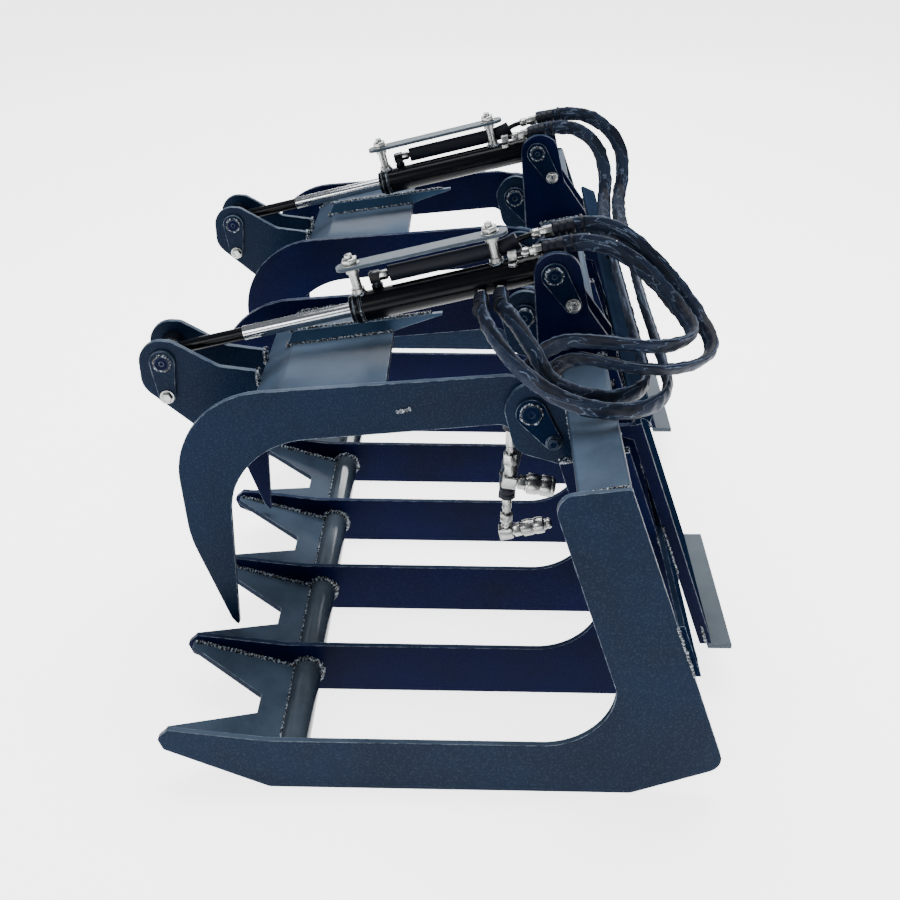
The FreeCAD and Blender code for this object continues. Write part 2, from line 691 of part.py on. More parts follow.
def fused(label, parts):
    item = doc.addObject("Part::MultiFuse", label)
    item.Label = label
    item.Shapes = parts
    return item


def make_barrel(side, place):
    """Tube, closed base and cross eye, with the weld bosses that carry the guard."""
    bore = size("bore_diameter") / 2
    outer = size("barrel_diameter") / 2
    length = size("barrel_length")
    eye = size("cylinder_eye_diameter") / 2
    tube = revolved(f"{side}_barrel_tube", [
        (eye * 0.6, 0.0), (eye * 0.6, outer, 3.0), (length, outer), (length, bore),
        (eye + 14.0, bore), (eye + 14.0, 0.0),
    ], place)
    boss = cross_cylinder(f"{side}_barrel_eye", eye, size("ear_gap") - 6.0, place)
    solids = fused(f"{side}_barrel_blank", [tube, boss])
    pin_hole = cross_cylinder(f"{side}_barrel_pin_hole", size("cylinder_pin_diameter") / 2 + CLEAR,
                              size("ear_gap") + 20.0, place)
    return cut(f"{side}_cylinder_barrel", solids, pin_hole)


def make_gland(side, place):
    """Threaded head gland that guides the rod."""
    bore = size("bore_diameter") / 2
    rod = size("rod_diameter") / 2
    length = size("barrel_length")
    return revolved(f"{side}_rod_gland", [
        (length - 28.0, rod + CLEAR), (length - 28.0, bore - CLEAR), (length + TOUCH, bore - CLEAR),
        (length + TOUCH, size("barrel_diameter") / 2 - 1.0), (length + 7.0, bore + 2.0),
        (length + 7.0, rod + CLEAR),
    ], place)


def make_rod(side, place):
    """Chromed rod with the piston's spigot."""
    rod = size("rod_diameter") / 2
    start = size("barrel_length") - 66.0
    end = REST_LENGTH - size("rod_end_length")
    return revolved(f"{side}_cylinder_rod", [
        (start, 0.0), (start, rod - 4.0), (start + 26.0, rod - 4.0), (start + 26.0, rod),
        (end, rod), (end, 0.0),
    ], place)


def make_piston(side, place):
    """Piston with two seal grooves."""
    bore = size("bore_diameter") / 2 - CLEAR
    spigot = size("rod_diameter") / 2 - 4.0
    start = size("barrel_length") - 66.0
    groove = 2.5
    return revolved(f"{side}_piston", [
        (start, spigot + 0.01), (start, bore), (start + 6.0, bore), (start + 6.0, bore - groove),
        (start + 9.0, bore - groove), (start + 9.0, bore), (start + 17.0, bore),
        (start + 17.0, bore - groove), (start + 20.0, bore - groove), (start + 20.0, bore),
        (start + 25.9, bore), (start + 25.9, spigot + 0.01),
    ], place)


def make_rod_eye(side, place):
    """Rod end: a long neck that ends in the cross eye."""
    rod = size("rod_diameter") / 2
    eye = size("cylinder_eye_diameter") / 2 - 4.0
    start = REST_LENGTH - size("rod_end_length")
    neck = revolved(f"{side}_rod_neck", [
        (start + 0.01, 0.0), (start + 0.01, rod - 1.5, 1.0), (REST_LENGTH - eye * 0.5, rod - 1.5),
        (REST_LENGTH - eye * 0.5, 0.0),
    ], place)
    boss = cross_cylinder(f"{side}_rod_boss", eye, size("ear_gap") - 6.0, place, REST_LENGTH)
    blank = fused(f"{side}_rod_eye_blank", [neck, boss])
    hole = cross_cylinder(f"{side}_rod_eye_hole", size("cylinder_pin_diameter") / 2 + CLEAR,
                          size("ear_gap") + 20.0, place, REST_LENGTH)
    return cut(f"{side}_rod_eye", blank, hole)


def make_rod_pin(side, place):
    """The middle of the rod pin, which stays in the rod's eye."""
    item = cross_cylinder(f"{side}_rod_pin", size("cylinder_pin_diameter") / 2,
                          size("ear_gap") - 2 * TOUCH, place, REST_LENGTH)
    item.Label = f"{side}_rod_pin"
    return item


def make_guard(side, place):
    """Flat guard bar over the barrel, on two bolts with nuts."""
    wide = size("guard_width") / 2
    front, back = size("guard_front") - wide, size("guard_back") + wide
    height = size("guard_height")
    body = new_body(f"{side}_guard_bar")
    pad = body.newObject("PartDesign::Pad", body.Name + "_pad")
    edges = slot((back, 0.0), (front, 0.0), wide)
    edges += [circle((back + 13.0, 0.0), size("bolt_diameter") / 2 + CLEAR),
              circle((front - 10.0, 0.0), size("bolt_diameter") / 2 + CLEAR)]
    pad.Profile = sketch_in(body, "XY_Plane", edges)
    pad.setExpression("Length", cell("guard_plate"))
    body.Placement = place.multiply(Placement(Vector(0, 0, height), Rotation()))
    body.Tip = pad
    bolts = []
    for number, at in enumerate((back + 13.0, front - 10.0), start=1):
        bolts.append(guard_bolt(f"guard_bolt_{side}_{number}", place, at))
    return [body, joined(f"{side}_guard_bolts", bolts)]


def guard_bolt(label, place, at):
    """Stud that stands on the barrel, with a shoulder under the bar and a nut above it."""
    radius = size("bolt_diameter") / 2
    foot = size("barrel_diameter") / 2 + TOUCH
    height = size("guard_height")
    thick = size("guard_plate")
    body = new_body(label)
    spin = body.newObject("PartDesign::Revolution", label + "_spin")
    profile = sketch_in(body, "XZ_Plane", rounded([
        (0.0, foot), (radius + 5.0, foot), (radius + 5.0, foot + 9.0), (radius + 2.0, foot + 9.0),
        (radius + 2.0, height - 8.0), (radius + 5.0, height - 8.0), (radius + 5.0, height - CLEAR),
        (radius, height - CLEAR), (radius, height + thick + CLEAR),
        (radius + 5.5, height + thick + CLEAR), (radius + 5.5, height + thick + 9.0, 1.5),
        (radius, height + thick + 9.0), (radius, height + thick + 15.0, 1.0),
        (0.0, height + thick + 15.0),
    ]))
    spin.Profile = profile
    spin.ReferenceAxis = (profile, ["V_Axis"])
    spin.Angle = 360.0
    body.Tip = spin
    body.Placement = place.multiply(Placement(Vector(at, 0, 0), Rotation()))
    return body


def pipe(label, points, radius, place=None):
    """A round pipe along straight runs joined by arcs as large as the runs allow."""
    nodes = [Vector(*point) for point in points]
    edges, at = [], nodes[0]
    for index in range(1, len(nodes) - 1):
        before, here, after = nodes[index - 1], nodes[index], nodes[index + 1]
        into, out = (before - here), (after - here)
        reach = 0.45 * min(into.Length, out.Length)
        into.normalize()
        out.normalize()
        start, end = here + into * reach, here + out * reach
        half = into.getAngle(out) / 2
        bend = reach * math.tan(half)
        middle = here + (into + out).normalize() * (bend / math.sin(half) - bend)
        edges.append(Part.LineSegment(at, start).toShape())
        edges.append(Part.Arc(start, middle, end).toShape())
        at = end
    edges.append(Part.LineSegment(at, nodes[-1]).toShape())
    path = Part.Wire(edges)
    ring = Part.Wire(Part.Circle(nodes[0], nodes[1] - nodes[0], radius).toShape())
    item = doc.addObject("Part::Feature", label)
    item.Label = label
    item.Shape = path.makePipeShell([ring], True, False)
    if place is not None:
        item.Placement = place
    return item


# Ends of the oil lines in the cylinder frame, where the hoses start.
LINE_END = (-12.0, -14.0, 54.0)
BASE_PORT_END = (10.0, 18.0, 38.0)
BRANCH_ENDS = ((92.0, 42.0, -14.0), (125.0, 42.0, -14.0))
FIRST_RUN = 60.0


def make_oil_lines(side, place):
    """Steel line from the gland-end port to the base, the base port and the branch ports."""
    radius = size("line_diameter") / 2
    barrel = size("barrel_diameter") / 2
    front = size("barrel_length") - 44.0
    high = barrel + 17.0
    aside = LINE_END[1]
    pipes = [pipe(f"{side}_steel_line", [
        (front, aside, barrel - 1.2), (front, aside, high), (front - 40.0, aside, high + 1.0),
        (66.0, aside, high), (36.0, aside, LINE_END[2]), LINE_END,
    ], radius, place)]
    pipes.append(pipe(f"{side}_base_port", [
        (62.0, 18.0, barrel - 3.3), (62.0, 18.0, BASE_PORT_END[2]), BASE_PORT_END,
    ], radius, place))
    if side == "left":
        for number, end in enumerate(BRANCH_ENDS, start=1):
            pipes.append(pipe(f"{side}_branch_port_{number}",
                              [(end[0], 24.0, end[2]), end], radius, place))
    return joined(f"{side}_oil_lines", pipes)


def make_cylinders():
    nodes = []
    for side, sign in SIDES:
        place = cylinder_place(sign)
        nodes += [make_barrel(side, place), make_gland(side, place), *make_guard(side, place),
                  make_oil_lines(side, place), make_rod(side, place), make_piston(side, place),
                  make_rod_eye(side, place), make_rod_pin(side, place)]
    return nodes


def from_cylinder(sign, point):
    """A point of the cylinder frame, in the part's frame."""
    return tuple(cylinder_place(sign).multVec(Vector(*point)))


def shifted(points):
    return [(x, y + DATUM_SHIFT, z) for x, y, z in points]


def first_run(sign, end):
    """The first two points of a hose that carries straight on from an oil line's end."""
    x, y, z = end
    return [from_cylinder(sign, (x - TOUCH, y, z)), from_cylinder(sign, (x - FIRST_RUN, y, z))]


def branch_run(end):
    """The last two points of a hose that meets a branch port square on."""
    x, y, z = end
    return [from_cylinder(1, (x, y + FIRST_RUN, z)), from_cylinder(1, (x, y + TOUCH, z))]


def hose_routes():
    """Points of the four hoses in the part's frame, chosen by hand along their free runs."""
    return {
        "lead_hose_a": first_run(1, LINE_END) + shifted([
            (345, 240, 757), (362, 286, 724), (386, 332, 680), (426, 366, 642), (480, 382, 621),
            (534, 368, 617), (574, 328, 619), (590, 274, 621), (578, 220, 624), (540, 172, 619),
            (502, 142, 592), (476, 119, 550), (464, 104, 495), (462, 84, 435), (462, 64, 375),
            (462, 64, 315)]),
        "lead_hose_b": first_run(1, BASE_PORT_END) + shifted([
            (376, 218, 742), (386, 264, 718), (404, 304, 684), (436, 334, 656), (484, 348, 646),
            (536, 336, 648), (572, 296, 653), (580, 244, 657), (564, 192, 657), (532, 148, 644),
            (502, 108, 610), (496, 82, 560), (496, 66, 515), (496, 66, 467)]),
        "cross_hose_a": first_run(-1, LINE_END) + shifted([
            (-354, 244, 764), (-342, 288, 736), (-330, 314, 694), (-314, 316, 646),
            (-280, 306, 610), (-216, 302, 594), (-110, 300, 590), (60, 302, 590), (240, 300, 590),
            (400, 304, 587), (500, 306, 585), (556, 306, 583), (608, 292, 582), (644, 256, 582),
            (658, 208, 585), (650, 158, 590), (626, 112, 598), (590, 72, 610), (546, 42, 624),
            (504, 24, 642)]) + branch_run(BRANCH_ENDS[1]),
        "cross_hose_b": first_run(-1, BASE_PORT_END) + shifted([
            (-328, 214, 744), (-318, 250, 722), (-308, 272, 684), (-294, 278, 642),
            (-262, 274, 608), (-200, 270, 592), (-90, 268, 590), (100, 270, 588), (290, 270, 590),
            (430, 272, 587), (510, 274, 586), (558, 271, 586), (600, 250, 586), (624, 208, 588),
            (622, 160, 594), (598, 118, 604), (564, 90, 616), (526, 68, 634),
            (490, 55, 652)]) + branch_run(BRANCH_ENDS[0]),
    }


def bend_radii(points):
    radii = []
    for before, here, after in zip(points, points[1:], points[2:]):
        into, out = Vector(*here) - Vector(*before), Vector(*after) - Vector(*here)
        reach = 0.45 * min(into.Length, out.Length)
        radii.append(reach / math.tan(into.getAngle(out) / 2))
    return radii


def make_hoses():
    """Fabric-sleeved hoses: two leads to the couplers and two across to the far cylinder."""
    radius = size("hose_diameter") / 2
    nodes = []
    for label, points in hose_routes().items():
        hose = pipe(label, points, radius)
        nodes.append(hose)
        swept = hose.Shape.Volume / (math.pi * radius ** 2)
        print(f"{label}: least bend {min(bend_radii(points)):.0f} mm, length {swept:.0f} mm")
    return nodes


def turned(label, corners, base, rotation):
    """A turned fitting about its own X axis, placed at base."""
    return revolved(label, corners, Placement(base, rotation))


def make_coupler(label, top, drop, lean, radius, length):
    """Hose end, swivel nut, elbow block and quick coupler, hanging from a lead hose."""
    down = Rotation(Vector(0, 1, 0), 90)
    x, y, z = top
    stem = turned(label + "_stem", [
        (TOUCH, 0.0), (TOUCH, 12.0), (26.0, 12.0), (26.0, 8.0), (30.0, 8.0), (30.0, 13.0),
        (46.0, 13.0), (46.0, 8.5), (drop - 8.0, 8.5), (drop - 8.0, 0.0),
    ], Vector(x, y, z), down)
    ahead = Rotation(Vector(0, 0, 1), 90).multiply(Rotation(Vector(0, 1, 0), lean))
    body = turned(label + "_body", [
        (-12.0, 0.0), (-12.0, 11.0), (12.0, 11.0), (12.0, 9.0), (17.0, 9.0),
        (17.0, radius * 0.8), (17.0 + length * 0.22, radius * 0.8),
        (17.0 + length * 0.22, radius, 1.5), (17.0 + length * 0.46, radius, 1.5),
        (17.0 + length * 0.46, radius * 0.9), (17.0 + length * 0.54, radius * 0.9),
        (17.0 + length * 0.54, radius, 1.5), (17.0 + length * 0.86, radius, 1.5),
        (17.0 + length * 0.86, radius * 0.74), (17.0 + length, radius * 0.74),
        (17.0 + length, radius * 0.5), (17.0 + length * 0.6, radius * 0.5),
        (17.0 + length * 0.6, 0.0),
    ], Vector(x, y, z - drop), ahead)
    return fused(label, [stem, body])


def make_couplers():
    """The two quick couplers at the ends of the lead hoses."""
    routes = hose_routes()
    radius, length = size("coupler_diameter") / 2, size("coupler_length")
    return [
        make_coupler("coupler_female", routes["lead_hose_b"][-1], 98.0, 9.0, radius, length),
        make_coupler("coupler_male", routes["lead_hose_a"][-1], 70.0, -14.0, radius * 0.82,
                     length * 0.9),
    ]


def build():
    nodes = make_tines() + make_front_tube() + make_nose_plates() + make_top_tube()
    nodes += make_rear_bar() + make_attach_sides() + make_attach_faces() + make_attach_hook()
    nodes += make_attach_lips() + make_claw_brackets() + make_towers() + make_frame_pins()
    nodes += make_arms() + make_cylinders() + make_hoses() + make_couplers()
    return nodes


def check_and_write(nodes):
    doc.recompute()
    for item in doc.Objects:
        if "Invalid" in item.State or "Error" in item.State:
            raise RuntimeError(f"{item.Label} failed: {item.State}")
    os.makedirs("parts", exist_ok=True)
    for node in nodes:
        shape = node.Shape
        if shape.isNull() or not shape.isValid():
            raise RuntimeError(f"{node.Label} has no valid shape")
        shape.exportStep(f"parts/{node.Label}.step")


check_and_write(build())
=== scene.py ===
"""Root grapple: its finish, hoses, welds and fittings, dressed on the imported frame.

Side-view sizes are millimetres (x across, y towards the loader, z up) from the datum of the
source, which lies DATUM_SHIFT in front of the frame's origin. place() turns them into metres.
"""
import math

import bpy
from mathutils import Matrix, Vector


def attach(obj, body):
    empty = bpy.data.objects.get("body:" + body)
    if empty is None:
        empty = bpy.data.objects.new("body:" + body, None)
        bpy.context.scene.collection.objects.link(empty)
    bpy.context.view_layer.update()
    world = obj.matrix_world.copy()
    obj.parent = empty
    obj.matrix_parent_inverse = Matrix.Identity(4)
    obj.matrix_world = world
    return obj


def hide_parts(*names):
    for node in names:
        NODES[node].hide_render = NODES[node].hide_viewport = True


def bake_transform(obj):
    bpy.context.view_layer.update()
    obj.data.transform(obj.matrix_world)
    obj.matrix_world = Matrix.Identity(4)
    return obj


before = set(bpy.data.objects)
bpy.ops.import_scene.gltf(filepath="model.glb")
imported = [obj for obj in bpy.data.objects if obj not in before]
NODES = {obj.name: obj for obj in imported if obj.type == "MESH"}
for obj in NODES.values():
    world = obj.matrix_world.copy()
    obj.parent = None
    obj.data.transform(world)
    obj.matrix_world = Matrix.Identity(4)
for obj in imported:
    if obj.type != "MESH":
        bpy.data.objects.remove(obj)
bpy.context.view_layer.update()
DATUM_SHIFT = 53.0
SIDES = (("left", 1), ("right", -1))

# Main places of the source, in the side view: (y, z).
CLAW_PIVOT = (95.0, 530.0)
BASE_PIN = (132.0, 698.0)
ROD_PIN = (-523.0, 534.0)
FRONT_TUBE = (-277.0, 42.0)
TUBE_TOP_FRONT, TUBE_TOP_BACK = (147.5, 544.2), (222.0, 560.0)
TUBE_LOW_FRONT = (163.3, 469.6)
NOSE_TIP, NOSE_SEAT = (-470.0, 101.0), (-299.7, 51.0)

# Places across the grapple: tines, and each arm's middle, claws, ears and attach plates.
TINE_PITCH, NEAR_TINE, TINE_COUNT = 238.125, 833.4, 8
TINE_X = [NEAR_TINE - TINE_PITCH * number for number in range(TINE_COUNT)]
HALF_PLATE = 4.8
ARM_X, CLAW_REACH = 350.0, 190.0
EAR_FACE, EAR_INNER = 47.5, 38.0
EAR_SIDES = (-EAR_FACE, -EAR_INNER, EAR_INNER, EAR_FACE)
BRACKET_FACE = 17.3
ATTACH_OUTER, ATTACH_INNER = (220.5, 569.0), (230.0, 559.5)

# The closed cylinder leans forward: its run and fall for each millimetre along the barrel.
BARREL_RUN, BARREL_FALL, BARREL_LEAN = 0.970, 0.243, 14.06
OUT = (1, 0, 0)
BACK = (0, BARREL_RUN, BARREL_FALL)
UP = (0, -BARREL_FALL, BARREL_RUN)

# Places along the barrel from its base pin: guard studs, oil ports and the hoses' branch ports.
STUDS_AT = (89.0, 326.0)
GLAND_PORT, BASE_PORT = 295.0, 62.0
BRANCHES_AT = (92.0, 125.0)
LINE_ASIDE, LINE_ABOVE = -14.0, 42.4
BASE_ASIDE, BASE_ABOVE = 18.0, 38.0
BRANCH_ABOVE = -14.0

PIN_RADIUS, CLAW_PIN_RADIUS = 12.7, 15.9
HOSE_RADIUS = 0.0115


def place(x, y, z):
    """A side-view point in metres, in the frame."""
    return Vector((x, y + DATUM_SHIFT, z)) / 1000


def on_barrel(sign, along, across, above):
    """A point given along the cylinder from its base pin, across it and above it."""
    return place(ARM_X * sign + across,
                 BASE_PIN[0] - BARREL_RUN * along - BARREL_FALL * above,
                 BASE_PIN[1] - BARREL_FALL * along + BARREL_RUN * above)


def aim_camera():
    """The photograph's view: 50 mm lens, 29 degrees down, along -X."""
    heading, pitch, roll = math.radians(-1.080), math.radians(29.319), math.radians(0.259)
    forward = Vector((-math.cos(heading) * math.cos(pitch),
                      math.sin(heading) * math.cos(pitch), -math.sin(pitch)))
    level = Vector((math.sin(heading), math.cos(heading), 0))
    upright = level.cross(forward)
    right = math.cos(roll) * level + math.sin(roll) * upright
    up = -math.sin(roll) * level + math.cos(roll) * upright
    turn = Matrix((right, up, -forward)).transposed().to_4x4()
    bpy.ops.object.camera_add()
    camera = bpy.context.object
    camera.name = "photo_view"
    camera.data.lens = 50
    camera.data.sensor_width = 36
    camera.data.clip_end = 50
    camera.matrix_world = Matrix.Translation(place(2303.5, 0, 1441.2)) @ turn
    bpy.context.scene.camera = camera


def soft_light(name, at, toward, size, power):
    """A rectangular area light that looks at a point; sizes in metres, power in watts."""
    bpy.ops.object.light_add(type="AREA", location=at)
    light = bpy.context.object
    light.name = name
    light.data.shape = "RECTANGLE"
    light.data.size, light.data.size_y = size
    light.data.energy = power
    light.rotation_euler = (Vector(toward) - Vector(at)).to_track_quat("-Z", "Y").to_euler()


def set_studio():
    """A faint cool sky, a light overhead, one by the camera, one far off, and a glowing floor."""
    world = bpy.context.scene.world or bpy.data.worlds.new("studio")
    bpy.context.scene.world = world
    world.use_nodes = True
    sky = world.node_tree.nodes["Background"]
    sky.inputs["Color"].default_value = (0.9, 0.95, 1.0, 1)
    sky.inputs["Strength"].default_value = 0.35
    soft_light("overhead", (-0.6, 0.1, 3.4), (0, 0, 0.2), (3.0, 2.4), 190)
    soft_light("camera_side", (3.0, -1.8, 2.1), (0, 0, 0.3), (1.2, 1.2), 40)
    soft_light("far_wall", (-4.6, 0.1, 2.5), (0, 0, 0.5), (3.4, 0.9), 85)
    bpy.ops.mesh.primitive_plane_add(size=600, location=(0, 0, 0))
    floor = bpy.context.object
    floor.name = "studio_floor"
    floor.data.materials.append(floor_paint())


def tint(code):
    """An sRGB hex colour as linear RGBA."""
    channels = [int(code[i:i + 2], 16) / 255 for i in (1, 3, 5)]
    return (*[c / 12.92 if c <= 0.04045 else ((c + 0.055) / 1.055) ** 2.4 for c in channels], 1)


def spaced(millimetres):
    """The scale of a texture whose features lie this far apart."""
    return 1000 / millimetres


def add_node(tree, kind, sockets=None, links=None, **settings):
    """A node with its settings, socket values and links, each socket by name or number."""
    node = tree.nodes.new(kind)
    for name, value in settings.items():
        setattr(node, name, value)
    for key, value in (sockets or {}).items():
        node.inputs[key].default_value = value
    for key, source in (links or {}).items():
        tree.links.new(source, node.inputs[key])
    return node


def new_material(name):
    """An empty material: its tree, its shader and the object's coordinates."""
    material = bpy.data.materials.new(name)
    material.use_nodes = True
    tree = material.node_tree
    where = add_node(tree, "ShaderNodeTexCoord").outputs["Object"]
    return material, tree, tree.nodes["Principled BSDF"], where


def floor_paint():
    """Light table: a white floor that glows, faintly uneven, so the shadows stay soft."""
    material, tree, shader, where = new_material("studio_floor_paint")
    grain = add_node(tree, "ShaderNodeTexNoise", {"Scale": spaced(25.0)}, {"Vector": where})
    shade = add_node(tree, "ShaderNodeMix", {6: tint("#fafafa"), 7: tint("#fdfdfd")},
                     {0: grain.outputs[0]}, data_type="RGBA")
    tree.links.new(shade.outputs[2], shader.inputs["Base Color"])
    shader.inputs["Roughness"].default_value = 0.9
    shader.inputs["Specular IOR Level"].default_value = 0.1
    shader.inputs["Emission Color"].default_value = (1, 1, 1, 1)
    shader.inputs["Emission Strength"].default_value = 3.2
    return material


def enamel(name, face, deep, dust_and_top_light, roughness=0.36, peel_depth=0.14, settled_and_lit=0.75,
           reflection=0.16):
    """Gloss enamel sprayed on hot-rolled plate: cloudy blue-black with orange peel, paler on the
    faces that look up, partly dust and partly painted light from above, and paler along the edges,
    partly paint rubbed thin and partly a painted highlight. Each coat below is mixed over the one
    before."""
    material, tree, shader, where = new_material(name)
    # The spray's uneven passes, about 170 mm apart.
    patches = add_node(tree, "ShaderNodeTexNoise",
                       {"Scale": spaced(166.7), "Detail": 5.0, "Roughness": 0.6},
                       {"Vector": where})
    # Orange peel is about 2 mm across; drawn at 3 mm so that it shows in the render.
    peel = add_node(tree, "ShaderNodeTexNoise", {"Scale": spaced(3.03), "Detail": 2.0},
                    {"Vector": where})
    cloud = add_node(tree, "ShaderNodeMapRange", {1: 0.34, 2: 0.68}, {0: patches.outputs[0]})
    coat = add_node(tree, "ShaderNodeMix", {6: tint(deep), 7: tint(face)},
                    {0: cloud.outputs[0]}, data_type="RGBA")
    speck = add_node(tree, "ShaderNodeMapRange", {1: 0.50, 2: 0.74, 3: 0.0, 4: 0.09},
                     {0: peel.outputs[0]})
    coat = add_node(tree, "ShaderNodeMix", {7: tint(dust_and_top_light)},
                    {0: speck.outputs[0], 6: coat.outputs[2]}, data_type="RGBA")
    # Faces that look up go paler in uneven patches: partly settled dust, partly painted light from
    # above.
    geometry = add_node(tree, "ShaderNodeNewGeometry")
    facing = add_node(tree, "ShaderNodeSeparateXYZ", None, {0: geometry.outputs["Normal"]})
    up_facing_pale = add_node(tree, "ShaderNodeMapRange", {1: 0.35, 2: 1.0, 3: 0.0, 4: settled_and_lit},
                      {0: facing.outputs[2]})
    uneven_top = add_node(tree, "ShaderNodeMapRange", {1: 0.3, 2: 0.68, 3: 0.4, 4: 1.0},
                      {0: patches.outputs[0]})
    dust_and_top_light_mask = add_node(tree, "ShaderNodeMath", None, {0: up_facing_pale.outputs[0], 1: uneven_top.outputs[0]},
                     operation="MULTIPLY")
    coat = add_node(tree, "ShaderNodeMix", {7: tint(dust_and_top_light)},
                    {0: dust_and_top_light_mask.outputs[0], 6: coat.outputs[2]}, data_type="RGBA")
    # An edge is where a 2.2 mm rounding would turn the surface: there the colour goes pale, partly
    # paint rubbed thin and partly a painted highlight along the edge.
    rounded = add_node(tree, "ShaderNodeBevel", {"Radius": 0.0022}, samples=4)
    bend = add_node(tree, "ShaderNodeVectorMath", None,
                    {0: rounded.outputs[0], 1: geometry.outputs["Normal"]}, operation="DOT_PRODUCT")
    edge = add_node(tree, "ShaderNodeMapRange", {1: 0.99, 2: 0.82, 3: 0.0, 4: 1.0},
                    {0: bend.outputs["Value"]})
    rub_and_glint_noise = add_node(tree, "ShaderNodeTexNoise", {"Scale": spaced(18.18), "Detail": 3.0},
                   {"Vector": where})
    patchy = add_node(tree, "ShaderNodeMapRange", {1: 0.40, 2: 0.62, 3: 0.15, 4: 0.95},
                      {0: rub_and_glint_noise.outputs[0]})
    worn_and_highlit_edge = add_node(tree, "ShaderNodeMath", None, {0: edge.outputs[0], 1: patchy.outputs[0]},
                    operation="MULTIPLY")
    coat = add_node(tree, "ShaderNodeMix", {7: tint("#98a5b3")},
                    {0: worn_and_highlit_edge.outputs[0], 6: coat.outputs[2]}, data_type="RGBA")
    tree.links.new(coat.outputs[2], shader.inputs["Base Color"])
    gloss = add_node(tree, "ShaderNodeMapRange",
                     {1: 0.3, 2: 0.7, 3: roughness - 0.06, 4: roughness + 0.1},
                     {0: patches.outputs[0]})
    tree.links.new(gloss.outputs[0], shader.inputs["Roughness"])
    bump = add_node(tree, "ShaderNodeBump", {"Strength": peel_depth, "Distance": 0.0006},
                    {"Height": peel.outputs[0], "Normal": rounded.outputs[0]})
    tree.links.new(bump.outputs[0], shader.inputs["Normal"])
    shader.inputs["IOR"].default_value = 1.5
    shader.inputs["Specular IOR Level"].default_value = reflection
    return material


def plating(name, colour, shadow, roughness):
    """Bright plating over turned steel: sharp reflections, faint turning marks and smears, and
    darker patches of colour that are painted dark reflections.
    """
    material, tree, shader, where = new_material(name)
    # Turning marks are about 0.2 mm apart; drawn at 1.1 mm so that they show.
    marks = add_node(tree, "ShaderNodeTexNoise", {"Scale": spaced(1.1111), "Detail": 1.0},
                     {"Vector": where})
    smear_and_dark_reflection = add_node(tree, "ShaderNodeTexNoise", {"Scale": spaced(16.667), "Detail": 3.0},
                     {"Vector": where})
    # Darker patches of the plating's colour: painted dark reflections; the same noise varies the
    # roughness as smears.
    shade = add_node(tree, "ShaderNodeMix", {6: tint(colour), 7: tint(shadow)},
                     {0: smear_and_dark_reflection.outputs[0]}, data_type="RGBA")
    tree.links.new(shade.outputs[2], shader.inputs["Base Color"])
    gloss = add_node(tree, "ShaderNodeMapRange", {1: 0.3, 2: 0.7, 3: roughness, 4: roughness + 0.14},
                     {0: smear_and_dark_reflection.outputs[0]})
    tree.links.new(gloss.outputs[0], shader.inputs["Roughness"])
    bump = add_node(tree, "ShaderNodeBump", {"Strength": 0.1, "Distance": 0.0003},
                    {"Height": marks.outputs[0]})
    tree.links.new(bump.outputs[0], shader.inputs["Normal"])
    shader.inputs["Metallic"].default_value = 1.0
    return material


def weld_metal():
    """Arc weld under a thin coat of enamel: wet-looking ripples, pale painted glints on their
    crests, black in the hollows.
    """
    material, tree, shader, where = new_material("enamelled_weld_bead")
    # Ripples are about 2 mm apart; drawn at 4 mm so that they glint in the render.
    ripple = add_node(tree, "ShaderNodeTexNoise", {"Scale": spaced(4.0), "Detail": 2.0},
                      {"Vector": where})
    # Pale on the ripples' crests: painted glints.
    glint_crest = add_node(tree, "ShaderNodeMapRange", {1: 0.50, 2: 0.62}, {0: ripple.outputs[0]})
    shade = add_node(tree, "ShaderNodeMix", {6: tint("#060a13"), 7: tint("#8c99a7")},
                     {0: glint_crest.outputs[0]}, data_type="RGBA")
    tree.links.new(shade.outputs[2], shader.inputs["Base Color"])
    bump = add_node(tree, "ShaderNodeBump", {"Strength": 0.8, "Distance": 0.002},
                    {"Height": ripple.outputs[0]})
    tree.links.new(bump.outputs[0], shader.inputs["Normal"])
    shader.inputs["Roughness"].default_value = 0.16
    shader.inputs["Specular IOR Level"].default_value = 0.5
    return material


